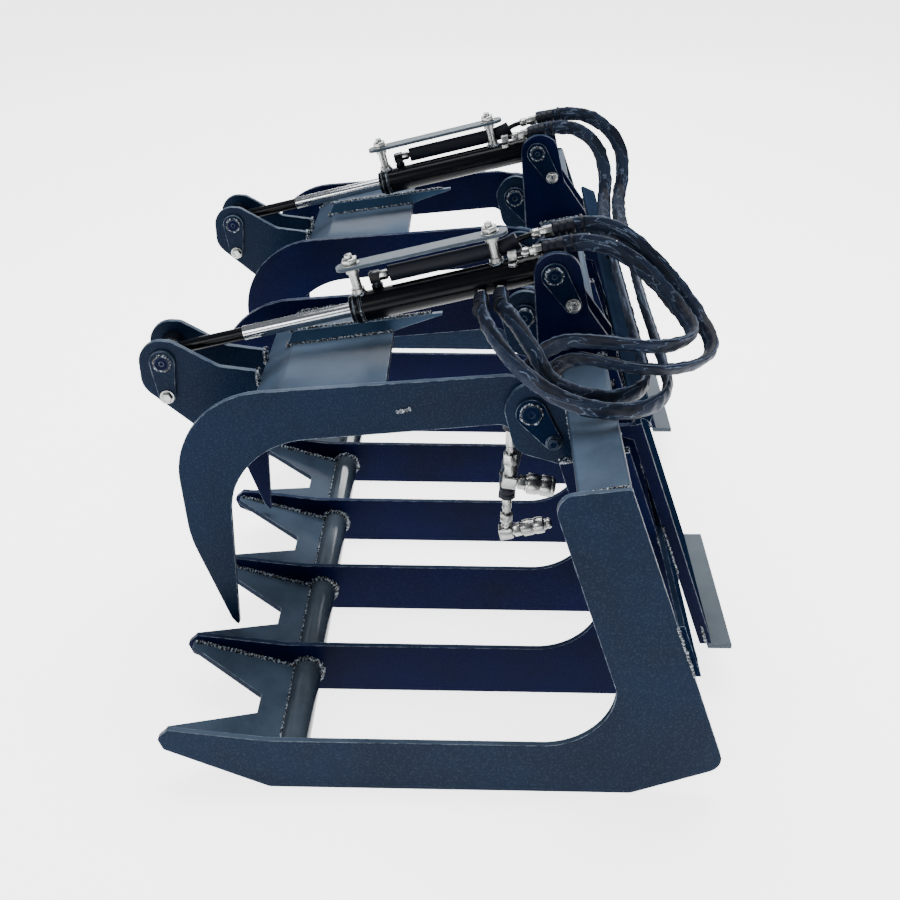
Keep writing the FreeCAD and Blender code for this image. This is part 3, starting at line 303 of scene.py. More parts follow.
def woven_sleeve():
    """Woven nylon hose sleeve: near black, with thin pale painted highlights along folds that run
    aslant round it.
    """
    material, tree, shader, _ = new_material("woven_nylon_sleeve")
    along = add_node(tree, "ShaderNodeUVMap")
    turned = add_node(tree, "ShaderNodeMapping", {"Scale": (3.4, 1.9, 1.0),
                      "Rotation": (0.0, 0.0, 0.22)}, {0: along.outputs[0]})
    folds = add_node(tree, "ShaderNodeTexNoise", {"Scale": 2.6, "Detail": 3.0, "Roughness": 0.5,
                     "Distortion": 0.35}, {"Vector": turned.outputs[0]})
    offset = add_node(tree, "ShaderNodeMath", {1: 0.5}, {0: folds.outputs[0]},
                      operation="SUBTRACT")
    away = add_node(tree, "ShaderNodeMath", None, {0: offset.outputs[0]}, operation="ABSOLUTE")
    # Thin pale lines along the middles of the folds: painted highlights.
    line = add_node(tree, "ShaderNodeMapRange", {1: 0.0, 2: 0.014, 3: 0.9, 4: 0.0},
                    {0: away.outputs[0]})
    # Threads are under 1 mm apart; drawn about 2.5 mm apart, along and round, so that they show.
    grain = add_node(tree, "ShaderNodeMapping", {"Scale": (300.0, 26.0, 1.0)},
                     {0: along.outputs[0]})
    weave = add_node(tree, "ShaderNodeTexVoronoi", {"Scale": 1.0}, {"Vector": grain.outputs[0]})
    soft = add_node(tree, "ShaderNodeMapRange", {1: 0.35, 2: 0.7}, {0: folds.outputs[0]})
    shade = add_node(tree, "ShaderNodeMix", {6: tint("#070d1a"), 7: tint("#19253a")},
                     {0: soft.outputs[0]}, data_type="RGBA")
    shade = add_node(tree, "ShaderNodeMix", {7: tint("#56647a")},
                     {0: line.outputs[0], 6: shade.outputs[2]}, data_type="RGBA")
    # A pale seam runs along one side of the sleeve.
    across = add_node(tree, "ShaderNodeSeparateXYZ", None, {0: along.outputs[0]})
    middle = add_node(tree, "ShaderNodeMath", {1: 0.5}, {0: across.outputs[1]},
                      operation="SUBTRACT")
    beside = add_node(tree, "ShaderNodeMath", None, {0: middle.outputs[0]}, operation="ABSOLUTE")
    seam = add_node(tree, "ShaderNodeMapRange", {1: 0.012, 2: 0.024, 3: 0.8, 4: 0.0},
                    {0: beside.outputs[0]})
    shade = add_node(tree, "ShaderNodeMix", {7: tint("#56647a")},
                     {0: seam.outputs[0], 6: shade.outputs[2]}, data_type="RGBA")
    gaps = add_node(tree, "ShaderNodeMapRange", {1: 0.2, 2: 0.8, 3: 0.0, 4: 0.4},
                    {0: weave.outputs[0]})
    shade = add_node(tree, "ShaderNodeMix", {7: tint("#070a12")},
                     {0: gaps.outputs[0], 6: shade.outputs[2]}, data_type="RGBA")
    tree.links.new(shade.outputs[2], shader.inputs["Base Color"])
    creases = add_node(tree, "ShaderNodeBump", {"Strength": 0.7, "Distance": 0.004},
                       {"Height": folds.outputs[0]})
    threads = add_node(tree, "ShaderNodeBump", {"Strength": 0.3, "Distance": 0.0008},
                       {"Height": weave.outputs[0], "Normal": creases.outputs[0]})
    tree.links.new(threads.outputs[0], shader.inputs["Normal"])
    shader.inputs["Roughness"].default_value = 0.5
    shader.inputs["Specular IOR Level"].default_value = 0.12
    return material


def black_rubber():
    """Rubber of the crimp shells and line covers: dull black, with a fine moulded grain."""
    material, tree, shader, where = new_material("black_moulded_rubber")
    # The grain is under 1 mm; drawn at 2 mm so that it shows.
    grain = add_node(tree, "ShaderNodeTexNoise", {"Scale": spaced(2.0), "Detail": 2.0},
                     {"Vector": where})
    shade = add_node(tree, "ShaderNodeMix", {6: tint("#04070f"), 7: tint("#0e1420")},
                     {0: grain.outputs[0]}, data_type="RGBA")
    tree.links.new(shade.outputs[2], shader.inputs["Base Color"])
    bump = add_node(tree, "ShaderNodeBump", {"Strength": 0.2, "Distance": 0.0005},
                    {"Height": grain.outputs[0]})
    tree.links.new(bump.outputs[0], shader.inputs["Normal"])
    shader.inputs["Roughness"].default_value = 0.45
    shader.inputs["Specular IOR Level"].default_value = 0.15
    return material


# One enamel in several copies: NEAR_PAINT is the lit copy on the near and outer plates, the darker,
# bluer copies for the plates inside and behind are painted shade, the rib's copy is painted lighter,
# and PALE_PAINT is paler where dust and rain lie.
NEAR_PAINT = enamel("blue_black_enamel", "#07172c", "#051223", "#526173", reflection=0.05)
INNER_SHADE_PAINT = enamel("inner_shaded_blue_enamel", "#040a2c", "#03071f", "#34425a", 0.4, 0.1, 0.6, 0.03)
SHADED_PAINT = enamel("shaded_blue_enamel", "#081428", "#050e1e", "#36455a", 0.8, 0.1, 0.35, 0.0)
# The rib's copy is lighter than the plates around it: painted light on a face that stands in shade.
RIB_PAINT = enamel("lit_rib_blue_enamel", "#2e4862", "#243b54", "#5d6c7c", reflection=0.15)
TUBE_PAINT = enamel("glossy_tube_enamel", "#0d1724", "#060b14", "#66737f", 0.13, 0.08, 0.45, 0.5)
PALE_PAINT = enamel("dusty_grey_enamel", "#39434d", "#2c353e", "#68727b", 0.42)
BARREL_PAINT = enamel("black_gloss_enamel", "#030409", "#020306", "#141922", 0.2, 0.05, 0.2, 0.12)
WELD_PAINT = weld_metal()
CHROME = plating("hard_chrome", "#c9cbce", "#8d9095", 0.06)
ZINC = plating("bright_zinc", "#b4b5b2", "#6a6c6d", 0.2)
SLEEVE = woven_sleeve()
RUBBER = black_rubber()

# Finishes by the ending of a node's name; any other node has NEAR_PAINT.
FINISH_BY_ENDING = (
    (("cylinder_rod",), CHROME),
    (("rod_pin", "piston", "guard_bolts"), ZINC),
    (("cylinder_barrel", "rod_gland", "rod_eye", "oil_lines"), BARREL_PAINT),
    (("guard_bar", "attach_lips"), PALE_PAINT),
    (("arm_rib",), RIB_PAINT),
    (("front_tube",), TUBE_PAINT),
    # These plates inside and behind get the darker copy of the enamel: painted shade.
    (("cylinder_tower", "claw_inner", "attach_side_plates", "right_claw_outer",
      *(f"tine_{number}" for number in range(2, TINE_COUNT))), INNER_SHADE_PAINT),
    (("attach_faces", "attach_hook", "rear_cross_bar", "frame_pins"), SHADED_PAINT),
)


def finish_frame():
    """Gives each CAD node its finish."""
    for name, node in NODES.items():
        finish = NEAR_PAINT
        for endings, choice in FINISH_BY_ENDING:
            if name.endswith(endings):
                finish = choice
        node.data.materials.clear()
        node.data.materials.append(finish)


def joined(name, pieces, finish, body):
    """Joins pieces into one, smooths it, and lets it ride on a body."""
    bpy.ops.object.select_all(action="DESELECT")
    for piece in pieces:
        piece.select_set(True)
    bpy.context.view_layer.objects.active = pieces[0]
    if len(pieces) > 1:
        bpy.ops.object.join()
    whole = bpy.context.object
    whole.name = name
    bpy.ops.object.transform_apply(location=True, rotation=True, scale=True)
    bpy.ops.object.shade_smooth_by_angle(angle=math.radians(40))
    whole.data.materials.clear()
    whole.data.materials.append(finish)
    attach(whole, body)
    return whole


def bevelled(piece, width, segments):
    """Rounds a piece's sharp edges; width in millimetres."""
    edge = piece.modifiers.new("edge", "BEVEL")
    edge.width = width / 1000
    edge.segments = segments
    edge.limit_method = "ANGLE"
    bpy.ops.object.modifier_apply(modifier=edge.name)


def roughened(piece, label, size, depth):
    """Pushes a surface in and out with lumps of this size; size and depth in metres."""
    lumps = bpy.data.textures.new(f"{piece.name}_{label}", "CLOUDS")
    lumps.noise_scale = size
    push = piece.modifiers.new(label, "DISPLACE")
    push.texture = lumps
    push.strength = depth
    push.mid_level = 0.5
    push.texture_coords = "LOCAL"
    bpy.ops.object.modifier_apply(modifier=push.name)


# Ripples of a bead lie this many radii apart.
BEAD_STEP = 1.15


def weld_bead(radius, at):
    """One ripple of a weld, a small low ball."""
    bpy.ops.object.select_all(action="DESELECT")
    bpy.ops.mesh.primitive_uv_sphere_add(segments=8, ring_count=6, radius=radius / 1000,
                                         location=at)
    return bpy.context.object


def straight_weld(start, end, radius=3.6):
    """A row of overlapping ripples from start to end."""
    row = weld_bead(radius, start)
    run = end - start
    step = radius * BEAD_STEP / 1000
    ripples = row.modifiers.new("ripples", "ARRAY")
    ripples.count = max(2, round(run.length / step))
    ripples.use_relative_offset = False
    ripples.use_constant_offset = True
    ripples.constant_offset_displace = run.normalized() * step
    bpy.ops.object.modifier_apply(modifier=ripples.name)
    return row


def ring_weld(center, reach, radius=3.4, axis=OUT, first=(0, 0, 1)):
    """Ripples all round a pin or tube."""
    ring = weld_bead(radius, center + Vector(first) * reach / 1000)
    count = max(8, round(2 * math.pi * reach / (radius * BEAD_STEP)))
    bpy.ops.object.mode_set(mode="EDIT")
    bpy.ops.mesh.select_all(action="SELECT")
    bpy.ops.mesh.spin(steps=count - 1, dupli=True, angle=2 * math.pi * (count - 1) / count,
                      center=center, axis=axis)
    bpy.ops.object.mode_set(mode="OBJECT")
    return ring


def lay_welds(name, beads, body):
    """Joins one body's beads and roughens them, as a hand-run weld is."""
    whole = joined(name, beads, WELD_PAINT, body)
    roughened(whole, "lumps", 0.009, 0.0042)


def face_seam(x, line, radius=3.6):
    """Beads along a side-view line on the face of a plate at x."""
    return [straight_weld(place(x, *first), place(x, *second), radius)
            for first, second in zip(line, line[1:])]


def weld_nose():
    """Nose plates and front tube, to both faces of each tine."""
    beads = []
    tip = (NOSE_TIP[0] + 6, NOSE_TIP[1] - 1)
    seat = (NOSE_SEAT[0] + 1, NOSE_SEAT[1] - 1)
    outer_faces = {TINE_X[0] + HALF_PLATE, TINE_X[-1] - HALF_PLATE}
    for center in TINE_X:
        for x in (center + HALF_PLATE, center - HALF_PLATE):
            if x not in outer_faces:
                beads += face_seam(x, [tip, NOSE_SEAT], 5.2)
                beads.append(ring_weld(place(x, *FRONT_TUBE), 25.8, 5.4))
    for first, second in zip(TINE_X, TINE_X[1:]):
        beads.append(straight_weld(place(first - 12, *seat), place(second + 12, *seat), 3.8))
    lay_welds("nose_welds", beads, "frame")


def weld_top_tube():
    """Top tube to the legs, the rear bar, the brackets, the towers and the attach plates."""
    leg_top = [(142, 464), (248, 487)]
    rear_bar = [(338, 238), (305, 328)]
    bracket = [TUBE_TOP_FRONT, TUBE_LOW_FRONT, (168, 440)]
    tower = [(155, 510), TUBE_TOP_FRONT, TUBE_TOP_BACK, (227, 534)]
    attach_top, attach_bar = [(236, 497), (232, 513)], [(349, 238), (316, 328)]
    beads = []
    for center in TINE_X:
        faces = (center + HALF_PLATE, center - HALF_PLATE)
        if center in (TINE_X[0], TINE_X[-1]):
            inner = faces[1] if center == TINE_X[0] else faces[0]
            beads += face_seam(inner, [TUBE_LOW_FRONT, TUBE_TOP_FRONT, TUBE_TOP_BACK], 3.4)
        else:
            for x in faces:
                beads += face_seam(x, leg_top, 3.4)
        for x in faces:
            beads += face_seam(x, rear_bar, 3.0)
    for _, sign in SIDES:
        for claw in (ARM_X * sign + CLAW_REACH, ARM_X * sign - CLAW_REACH):
            for x in (claw + BRACKET_FACE, claw - BRACKET_FACE):
                beads += face_seam(x, bracket, 3.4)
        for x in EAR_SIDES:
            beads += face_seam(ARM_X * sign + x, tower, 4.2)
        for x in sorted(ATTACH_OUTER + ATTACH_INNER):
            beads += face_seam(x * sign, attach_top, 3.0)
            beads += face_seam(x * sign, attach_bar, 3.0)
    lay_welds("frame_welds", beads, "frame")


def weld_attach():
    """Attach faces to their side plates, hook and lips."""
    beads = []
    for _, sign in SIDES:
        for x in ATTACH_OUTER:
            beads += face_seam(x * sign, [(412, 93), (399, 130)], 2.6)
        low, high = sorted(x * sign for x in ATTACH_INNER)
        for seam in ((412.5, 89.5), (257.5, 514.0)):
            beads.append(straight_weld(place(low, *seam), place(high, *seam), 3.2))
    lay_welds("attach_welds", beads, "frame")


def weld_arm(side, sign):
    """Cover plate, rib and ears of one arm: heavy, lumpy beads, and a short tack on the near
    claw's outer face."""
    near, far = ARM_X * sign + CLAW_REACH, ARM_X * sign - CLAW_REACH
    cover = [(-360, 497), (-313, 532), (-139, 558)]
    rib_foot, rib_top = [(-322, 529), (-137, 558)], [(-316, 554), (-70, 592)]
    ear_foot, tack = [(-363, 517), (-363, 494), (-356, 486)], [(-116, 522), (-94, 528)]
    rib = ARM_X * sign - EAR_INNER
    beads = face_seam(far + HALF_PLATE, cover, 4.0)
    beads += face_seam(near - HALF_PLATE, cover, 4.0)
    for x in (rib + 0.4, rib - 9.9):
        beads += face_seam(x, rib_foot, 3.4)
    beads += face_seam(rib - HALF_PLATE, rib_top, 3.4)
    for x in EAR_SIDES:
        beads += face_seam(ARM_X * sign + x, ear_foot, 4.4)
    if sign > 0:
        beads += face_seam(near + HALF_PLATE, tack, 4.2)
    lay_welds(f"{side}_arm_welds", beads, f"{side}_arm")


def weld_barrel(side, sign):
    """Base eye to the tube, and the feet of the guard's studs."""
    forward = (0, -BARREL_RUN, -BARREL_FALL)
    beads = [ring_weld(on_barrel(sign, 24.0, 0, 0), 24.6, 3.4, forward),
             ring_weld(on_barrel(sign, 333.0, 0, 0), 24.8, 2.4, forward)]
    for at in STUDS_AT:
        beads.append(ring_weld(on_barrel(sign, at, 0, 25.6), 11.4, 2.6, UP, OUT))
    lay_welds(f"{side}_barrel_welds", beads, f"{side}_barrel")


def turned_piece(rings, base, along, sides=24, bevel=0.5):
    """A piece turned about an axis: rings of (distance, radius), in millimetres, from base."""
    bpy.ops.object.select_all(action="DESELECT")
    bpy.ops.mesh.primitive_circle_add(vertices=sides, radius=rings[0][1] / 1000, fill_type="NGON",
                                      location=(0, 0, rings[0][0] / 1000))
    piece = bpy.context.object
    bpy.ops.object.mode_set(mode="EDIT")
    bpy.ops.mesh.select_all(action="SELECT")
    for (low, wide), (high, narrow) in zip(rings, rings[1:]):
        bpy.ops.mesh.extrude_region_move(TRANSFORM_OT_translate={
            "value": (0, 0, (high - low) / 1000)})
        bpy.ops.transform.resize(value=(narrow / wide, narrow / wide, 1),
                                 center_override=(0, 0, high / 1000))
    bpy.ops.mesh.select_all(action="SELECT")
    bpy.ops.mesh.normals_make_consistent(inside=False)
    bpy.ops.object.mode_set(mode="OBJECT")
    bpy.ops.object.transform_apply(location=True)
    if bevel:
        bevelled(piece, bevel, 2)
    turn = Vector(along).to_track_quat("Z", "X").to_matrix().to_4x4()
    piece.matrix_world = Matrix.Translation(base) @ turn
    bpy.ops.object.transform_apply(location=True, rotation=True)
    return piece


def block(size, at, turn=0.0, bevel=1.5):
    """A forged block with softened edges, turned about X by an angle in degrees."""
    bpy.ops.object.select_all(action="DESELECT")
    bpy.ops.mesh.primitive_cube_add(size=1, location=(0, 0, 0))
    piece = bpy.context.object
    piece.scale = Vector(size) / 1000
    bpy.ops.object.transform_apply(scale=True)
    bevelled(piece, bevel, 3)
    piece.matrix_world = Matrix.Translation(at) @ Matrix.Rotation(math.radians(turn), 4, "X")
    bpy.ops.object.transform_apply(location=True, rotation=True)
    return piece


def hex_bolt(base):
    """Washer, chamfered hex head with a dished top, and the shank through the flag plate."""
    washer = turned_piece([(0, 12.4), (1.8, 12.4)], base, OUT, 32, 0.3)
    head = turned_piece([(1.8, 10.4), (8.2, 10.4), (9.4, 8.9), (9.4, 6.5), (8.9, 6.0)],
                        base, OUT, 6, 0.5)
    shank = turned_piece([(-5.4, 6.2), (0.2, 6.2)], base, OUT, 24, 0)
    return [washer, head, shank]


def pin_end(center, radius, lathe_centre):
    """A pin's chamfered end with the lathe's centre hole; lathe_centre is its two radii."""
    return turned_piece([(-1, radius), (3.2, radius), (4.2, radius - 1.2),
                         (4.2, lathe_centre[0]), (3.4, lathe_centre[1])], center, OUT, 32, 0.3)


def bolt_flags():
    """The bolts that keep the flag pins from turning, and the pins' welded ends."""
    painted, bright, ends, rings = [], [], [], []
    claw_flag = (CLAW_PIVOT, math.radians(-54.0), 62.0, CLAW_PIN_RADIUS, painted)
    base_flag = (BASE_PIN, math.radians(-57.0), 60.0, PIN_RADIUS, bright)
    for side, sign in SIDES:
        center = ARM_X * sign
        flags = [(center + CLAW_REACH + 23.6, claw_flag), (center - CLAW_REACH + 23.6, claw_flag),
                 (center + EAR_FACE + 6.3, base_flag)]
        for x, (pivot, lean, reach, radius, bolts) in flags:
            across, rise = reach * math.cos(lean), reach * math.sin(lean)
            bolts += hex_bolt(place(x + 0.1, pivot[0] + across, pivot[1] + rise))
            ends.append(pin_end(place(x, *pivot), radius, (radius * 0.35, radius * 0.3)))
            rings.append(ring_weld(place(x + 0.4, *pivot), radius + 1.2, 2.5))
        rod_x = center + EAR_FACE + 6.3
        rod_bolt = hex_bolt(place(rod_x + 0.1, ROD_PIN[0] + 3.0, ROD_PIN[1] - 62.9))
        piece = joined(f"{side}_rod_flag_bolt", rod_bolt, ZINC, f"{side}_arm")
        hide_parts(f"{side}_rod_pin_bolt")
        pin = pin_end(place(rod_x, *ROD_PIN), PIN_RADIUS, (4.4, 3.8))
        joined(f"{side}_rod_pin_end", [pin], INNER_SHADE_PAINT, f"{side}_arm")
        weld = ring_weld(place(rod_x + 0.4, *ROD_PIN), PIN_RADIUS + 1.2, 2.5)
        lay_welds(f"{side}_rod_pin_weld", [weld], f"{side}_arm")
    for name, bolts, finish in (("claw_flag_bolts", painted, SHADED_PAINT),
                                ("base_flag_bolts", bright, ZINC)):
        piece = joined(name, bolts, finish, "frame")
        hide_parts("frame_pin_bolts")
    joined("pin_ends", ends, SHADED_PAINT, "frame")
    lay_welds("pin_end_welds", rings, "frame")


def guard_nuts(sign):
    """Nuts and washers that hold the guard bar on its studs."""
    nuts = []
    for at in STUDS_AT:
        top, under = on_barrel(sign, at, 0, 78.1), on_barrel(sign, at, 0, 71.8)
        nuts += [turned_piece([(0, 15.5), (1.6, 15.5)], top, UP, 32, 0.3),
                 turned_piece([(1.6, 13.9), (10.0, 13.9), (11.2, 12.0), (11.2, 7.0)],
                              top, UP, 6, 0.5),
                 turned_piece([(10.0, 6.4), (17.0, 6.4), (17.8, 5.6)], top, UP, 20, 0.2),
                 turned_piece([(-1.6, 15.0), (0, 15.0)], under, UP, 32, 0.3)]
    return nuts


def line_fittings(sign):
    """Nuts of the steel lines: where the hoses start, at the gland and at the base port."""
    fittings = []
    for along, across, above in ((-12.0, LINE_ASIDE, 54.0), (10.0, BASE_ASIDE, BASE_ABOVE)):
        end = on_barrel(sign, along, across, above)
        fittings += [turned_piece([(-22, 7.4), (-16, 7.4), (-16, 9.6), (-2, 9.6), (0, 8.6)],
                                  end, BACK, 6, 0.6),
                     turned_piece([(-36, 6.6), (-33, 8.4), (-24, 8.4), (-22, 6.6)],
                                  end, BACK, 20, 0.4)]
    gland_nut = on_barrel(sign, GLAND_PORT - 8.0, LINE_ASIDE, LINE_ABOVE + 0.2)
    base_nut = on_barrel(sign, BASE_PORT, BASE_ASIDE, 20.0)
    base_elbow = on_barrel(sign, BASE_PORT - 1.0, BASE_ASIDE, BASE_ABOVE)
    fittings += [turned_piece([(0, 8.8), (13, 8.8), (15, 7.2)], gland_nut, BACK, 6, 0.6),
                 turned_piece([(0, 10.0), (6.0, 10.0), (7.0, 8.8)], base_nut, UP, 6, 0.6),
                 block((15, 15, 14), base_elbow, BARREL_LEAN)]
    return fittings


def branch_fittings(sign):
    """Nuts on the near barrel's side, where the cross hoses start."""
    fittings = []
    for at in BRANCHES_AT:
        fittings += [turned_piece([(0, 10.2), (6.0, 10.2), (7.0, 9.0)],
                                  on_barrel(sign, at, 22.5, BRANCH_ABOVE), OUT, 6, 0.6),
                     turned_piece([(8, 7.2), (9, 9.4), (18, 9.4), (19, 7.0)],
                                  on_barrel(sign, at, 23.0, BRANCH_ABOVE), OUT, 6, 0.5)]
    return fittings


def dress_cylinder(side, sign):
    """Guard nuts, line fittings, the black elbow at the gland, its collar and the line's cover."""
    bright = guard_nuts(sign) + line_fittings(sign)
    if sign > 0:
        bright += branch_fittings(sign)
    joined(f"{side}_line_fittings", bright, ZINC, f"{side}_barrel")
    elbow = on_barrel(sign, GLAND_PORT, LINE_ASIDE, LINE_ABOVE + 0.1)
    post = on_barrel(sign, GLAND_PORT, LINE_ASIDE, 22.0)
    collar = [(0, 26.6), (9.0, 26.6), (9.0, 24.4), (11.0, 24.4), (11.0, 26.6), (15.0, 26.6)]
    dark = [block((18, 18, 18), elbow, BARREL_LEAN),
            turned_piece([(0, 11.0), (7.0, 11.0), (8.5, 8.4), (14.0, 8.4)], post, UP, 6, 0.6),
            turned_piece(collar, on_barrel(sign, 338.0, 0, 0), BACK, 36, 0.5)]
    joined(f"{side}_barrel_collars", dark, BARREL_PAINT, f"{side}_barrel")
    route = [on_barrel(sign, along, LINE_ASIDE, above) for along, above in
             ((270, LINE_ABOVE), (170, LINE_ABOVE), (96, LINE_ABOVE), (70, 43.0), (48, 49.4))]
    joined(f"{side}_line_cover", [swept_sleeve("line_cover", route)], RUBBER, f"{side}_barrel")


def sleeve_profile():
    """The sleeve's cross-section: a hose pressed a little flat, as wide as its sleeve."""
    bpy.ops.object.select_all(action="DESELECT")
    bpy.ops.curve.primitive_nurbs_circle_add(radius=HOSE_RADIUS)
    profile = bpy.context.object
    profile.scale = (0.66, 1.26, 1)
    bpy.ops.object.transform_apply(scale=True)
    profile.data.resolution_u = 4
    return profile


def nurbs_route(points, profile=None):
    """A NURBS curve along the route's points, swept with the profile where there is one."""
    curve = bpy.data.curves.new("route", "CURVE")
    curve.dimensions = "3D"
    spline = curve.splines.new("NURBS")
    spline.points.add(len(points) - 1)
    for point, at in zip(spline.points, points):
        point.co = (*at, 1)
    spline.order_u = 3
    spline.use_endpoint_u = True
    curve.resolution_u = 12
    if profile:
        curve.bevel_mode = "OBJECT"
        curve.bevel_object = profile
        curve.use_fill_caps = True
    route = bpy.data.objects.new("route", curve)
    bpy.context.scene.collection.objects.link(route)
    bpy.context.view_layer.update()
    return route


def swept_sleeve(name, points):
    """A sleeve along a route, as a mesh."""
    profile = sleeve_profile()
    sleeve = nurbs_route(points, profile)
    bpy.ops.object.select_all(action="DESELECT")
    sleeve.select_set(True)
    bpy.context.view_layer.objects.active = sleeve
    bpy.ops.object.convert(target="MESH")
    sleeve = bpy.context.object
    sleeve.name = name
    bpy.data.objects.remove(profile)
    return sleeve


def read_line(points):
    """The centre line of a route."""
    route = nurbs_route(points)
    mesh = bpy.data.meshes.new_from_object(route)
    line = [vertex.co.copy() for vertex in mesh.vertices]
    bpy.data.meshes.remove(mesh)
    bpy.data.objects.remove(route)
    return line


def crimp_shell(end, along):
    """The shell that grips a hose's end: grooved, with a lip over the sleeve, and a cable tie."""
    rings = [(0, 9.0), (1, 13.2), (9, 13.2), (9.6, 12.2), (12, 12.2), (12.6, 13.2), (20, 13.2),
             (20.6, 12.2), (23, 12.2), (23.6, 13.4), (34, 13.4), (35.5, 12.2)]
    tie = [(46, 12.0), (46.4, 14.6), (50.6, 14.6), (51, 12.0)]
    return [turned_piece(rings, end, along, 28, 0.3), turned_piece(tie, end, along, 28, 0.2)]


def lay_hose(name, points, shells, replaced=None):
    """A sleeved hose along its route, with a crimped shell on each end that shells names."""
    line = read_line(points)
    sleeve = swept_sleeve(name, points)
    roughened(sleeve, "creases", 0.016, 0.005)
    bpy.ops.object.shade_smooth()
    sleeve.data.materials.clear()
    sleeve.data.materials.append(SLEEVE)
    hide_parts(replaced)
    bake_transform(sleeve)
    ends = [joined(f"{name}_{label}_shell", crimp_shell(at, along), RUBBER, body)
            for label, at, along, body in shells]
    measured = sum((b - a).length for a, b in zip(line, line[1:]))
    print(f"{name}: {measured:.3f} m")


def along_route(*points):
    """A route's side-view points, in metres."""
    return [place(*point) for point in points]


def lay_hoses(couplers):
    """Two leads from the near cylinder to the couplers, and two hoses across to the far one."""
    lead_a = along_route(
        (336, 130.8, 753.4), (336, 188.7, 767.9), (345, 240, 757), (362, 286, 724),
        (386, 332, 680), (426, 366, 642), (480, 382, 621), (534, 368, 617), (574, 328, 619),
        (590, 274, 621), (578, 220, 624), (540, 172, 619), (502, 142, 592), (476, 119, 550),
        (464, 104, 495), (462, 84, 435), (462, 64, 375), (462, 64, 315))
    lead_b = along_route(
        (368, 113.4, 732.5), (368, 171.3, 747), (376, 218, 742), (386, 264, 718), (404, 304, 684),
        (436, 334, 656), (484, 348, 646), (536, 336, 648), (572, 296, 653), (580, 244, 657),
        (564, 192, 657), (532, 148, 644), (502, 108, 610), (496, 82, 560), (496, 66, 515),
        (496, 66, 467))
    cross_a_far = along_route(
        (-364, 130.8, 753.4), (-364, 188.7, 767.9), (-354, 244, 764), (-342, 288, 736),
        (-330, 314, 694), (-314, 316, 646), (-280, 306, 610), (-216, 302, 594), (-110, 300, 590),
        (0, 301.3, 590))
    cross_a_near = along_route(
        (0, 301.3, 590), (60, 302, 590), (240, 300, 590), (400, 304, 587), (500, 306, 585),
        (556, 306, 583), (608, 292, 582), (644, 256, 582), (658, 208, 585), (650, 158, 590),
        (626, 112, 602), (590, 74, 618), (546, 44, 636), (504, 26, 651), (452, 14.2, 654),
        (392.3, 14.2, 654))
    cross_b_far = along_route(
        (-332, 113.4, 732.5), (-332, 171.3, 747), (-328, 214, 744), (-318, 250, 722),
        (-308, 272, 684), (-294, 278, 642), (-262, 274, 608), (-200, 270, 592), (-90, 268, 590),
        (10, 269, 589))
    cross_b_near = along_route(
        (10, 269, 589), (100, 270, 588), (290, 270, 590), (430, 272, 587), (510, 274, 586),
        (558, 271, 586), (600, 250, 586), (624, 208, 588), (622, 160, 594), (598, 118, 604),
        (564, 98, 634), (526, 76, 654), (490, 60, 665), (452, 46.2, 662), (392.3, 46.2, 662))
    high_a, low_a = place(0, 0, 765), place(0, 0, 640)
    high_b, low_b = place(0, 0, 746), place(0, 0, 662)
    for name, route, length, high, low, coupler in (
            ("a", lead_a, 0.99, high_a, low_a, couplers[0]),
            ("b", lead_b, 0.79, high_b, low_b, couplers[1])):
        lay_hose(f"lead_sleeve_{name}", route,
                 [("line", route[0], BACK, "left_barrel"),
                               ("coupler", route[-1], (0, 0, 1), "frame")],
                 f"lead_hose_{name}")
    for name, route, length in (("a", cross_a_far, 0.60), ("b", cross_b_far, 0.55)):
        lay_hose(f"cross_sleeve_{name}_far", route,
                 [("line", route[0], BACK, "right_barrel")], replaced=f"cross_hose_{name}")
    for name, route, length in (("a", cross_a_near, 1.08), ("b", cross_b_near, 0.97)):
        lay_hose(f"cross_sleeve_{name}_near", route,
                 [("branch", route[-1], OUT, "left_barrel")], replaced=f"cross_hose_{name}")


def scaled_rings(reach, length, radius, shares):
    """Rings of a turned piece from shares of its length and of its radius."""
    return [(reach + length * along, radius * wide) for along, wide in shares]


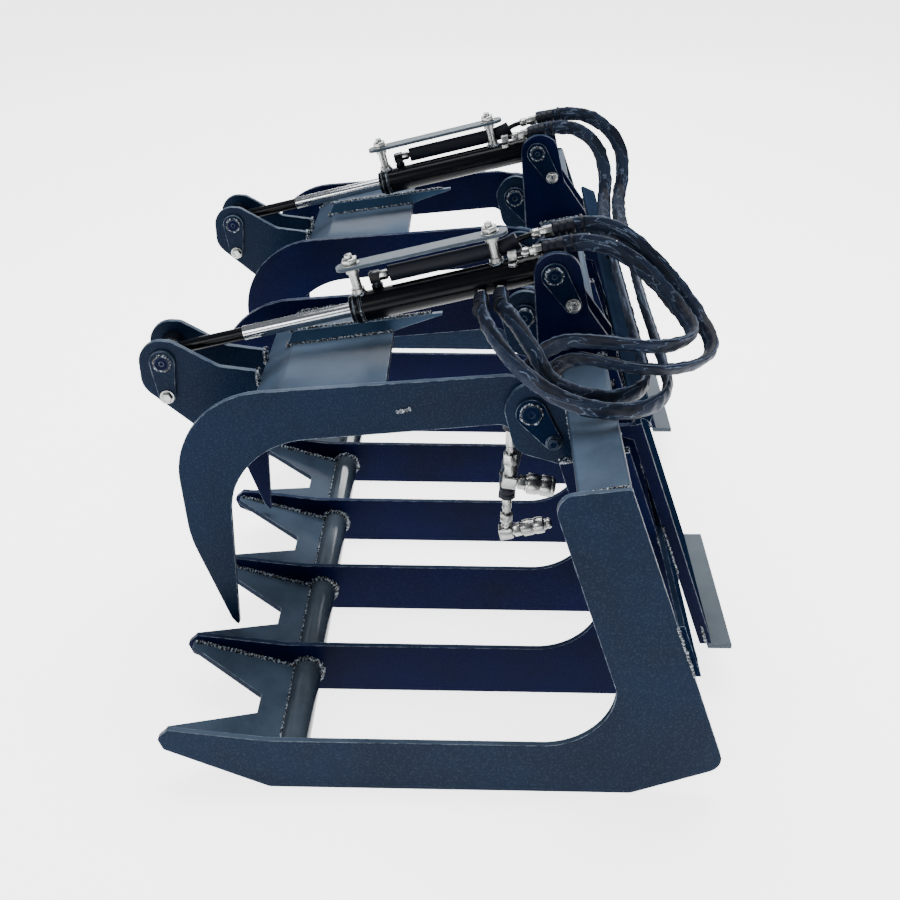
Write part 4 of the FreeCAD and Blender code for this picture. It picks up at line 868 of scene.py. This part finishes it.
COUPLER_SLEEVE = ((0, 0.78), (0.06, 0.78), (0.06, 0.97), (0.10, 1), (0.34, 1), (0.38, 0.93),
                  (0.46, 0.93), (0.48, 1))
COUPLER_KNURL = ((0.48, 1), (0.74, 1))
FEMALE_MOUTH = ((0.74, 0.96), (0.80, 0.96), (0.83, 0.84), (0.86, 0.84), (0.86, 0.60),
                (0.70, 0.58), (0.70, 0.30), (0.80, 0.26))
MALE_NOSE = ((0.74, 0.80), (0.78, 0.66), (0.82, 0.66), (0.83, 0.58), (0.87, 0.58), (0.88, 0.66),
             (0.97, 0.62), (1, 0.44), (0.96, 0.30))


def quick_coupler(name, top, drop, lean, radius, length, mouth):
    """Crimped tail, swivel nut, elbow block and coupler, hanging from a lead hose."""
    down = (0, 0, -1)
    ahead = (0, math.cos(math.radians(lean)), math.sin(math.radians(lean)))
    elbow = top - Vector((0, 0, drop / 1000))
    parts = [turned_piece([(0.4, 8.4), (drop * 0.30, 8.4), (drop * 0.32, 7.0),
                           (drop * 0.46, 7.0)], top, down, 28, 0.4),
             turned_piece([(drop * 0.46, 12.4), (drop * 0.66, 12.4), (drop * 0.68, 10.6)],
                          top, down, 6, 0.8),
             turned_piece([(drop * 0.66, 8.8), (drop - 8, 8.8)], top, down, 28, 0.4),
             block((23, 24, 22), elbow, lean, 2.5),
             turned_piece([(10, 9.4), (15, 9.4), (15, 12.6), (26, 12.6), (27, 11.6)],
                          elbow, ahead, 6, 0.8)]
    for shares, sides, bevel in ((COUPLER_SLEEVE, 40, 0.3), (COUPLER_KNURL, 18, 0.7),
                                 (mouth, 32, 0.3)):
        rings = scaled_rings(27.0, length, radius, shares)
        parts.append(turned_piece(rings, elbow, ahead, sides, bevel))
    whole = joined(f"{name}_dressed", parts, ZINC, "frame")
    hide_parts(name)
    return whole


aim_camera()
set_studio()
finish_frame()
male = quick_coupler("coupler_male", place(462, 64, 315), 70.0, 14.0, 14.8, 54.0, MALE_NOSE)
female = quick_coupler("coupler_female", place(496, 66, 467), 98.0, -9.0, 18.0, 58.0,
                       FEMALE_MOUTH)
lay_hoses((male, female))
weld_nose()
weld_top_tube()
weld_attach()
bolt_flags()
for arm, hand in SIDES:
    weld_arm(arm, hand)
    weld_barrel(arm, hand)
    dress_cylinder(arm, hand)
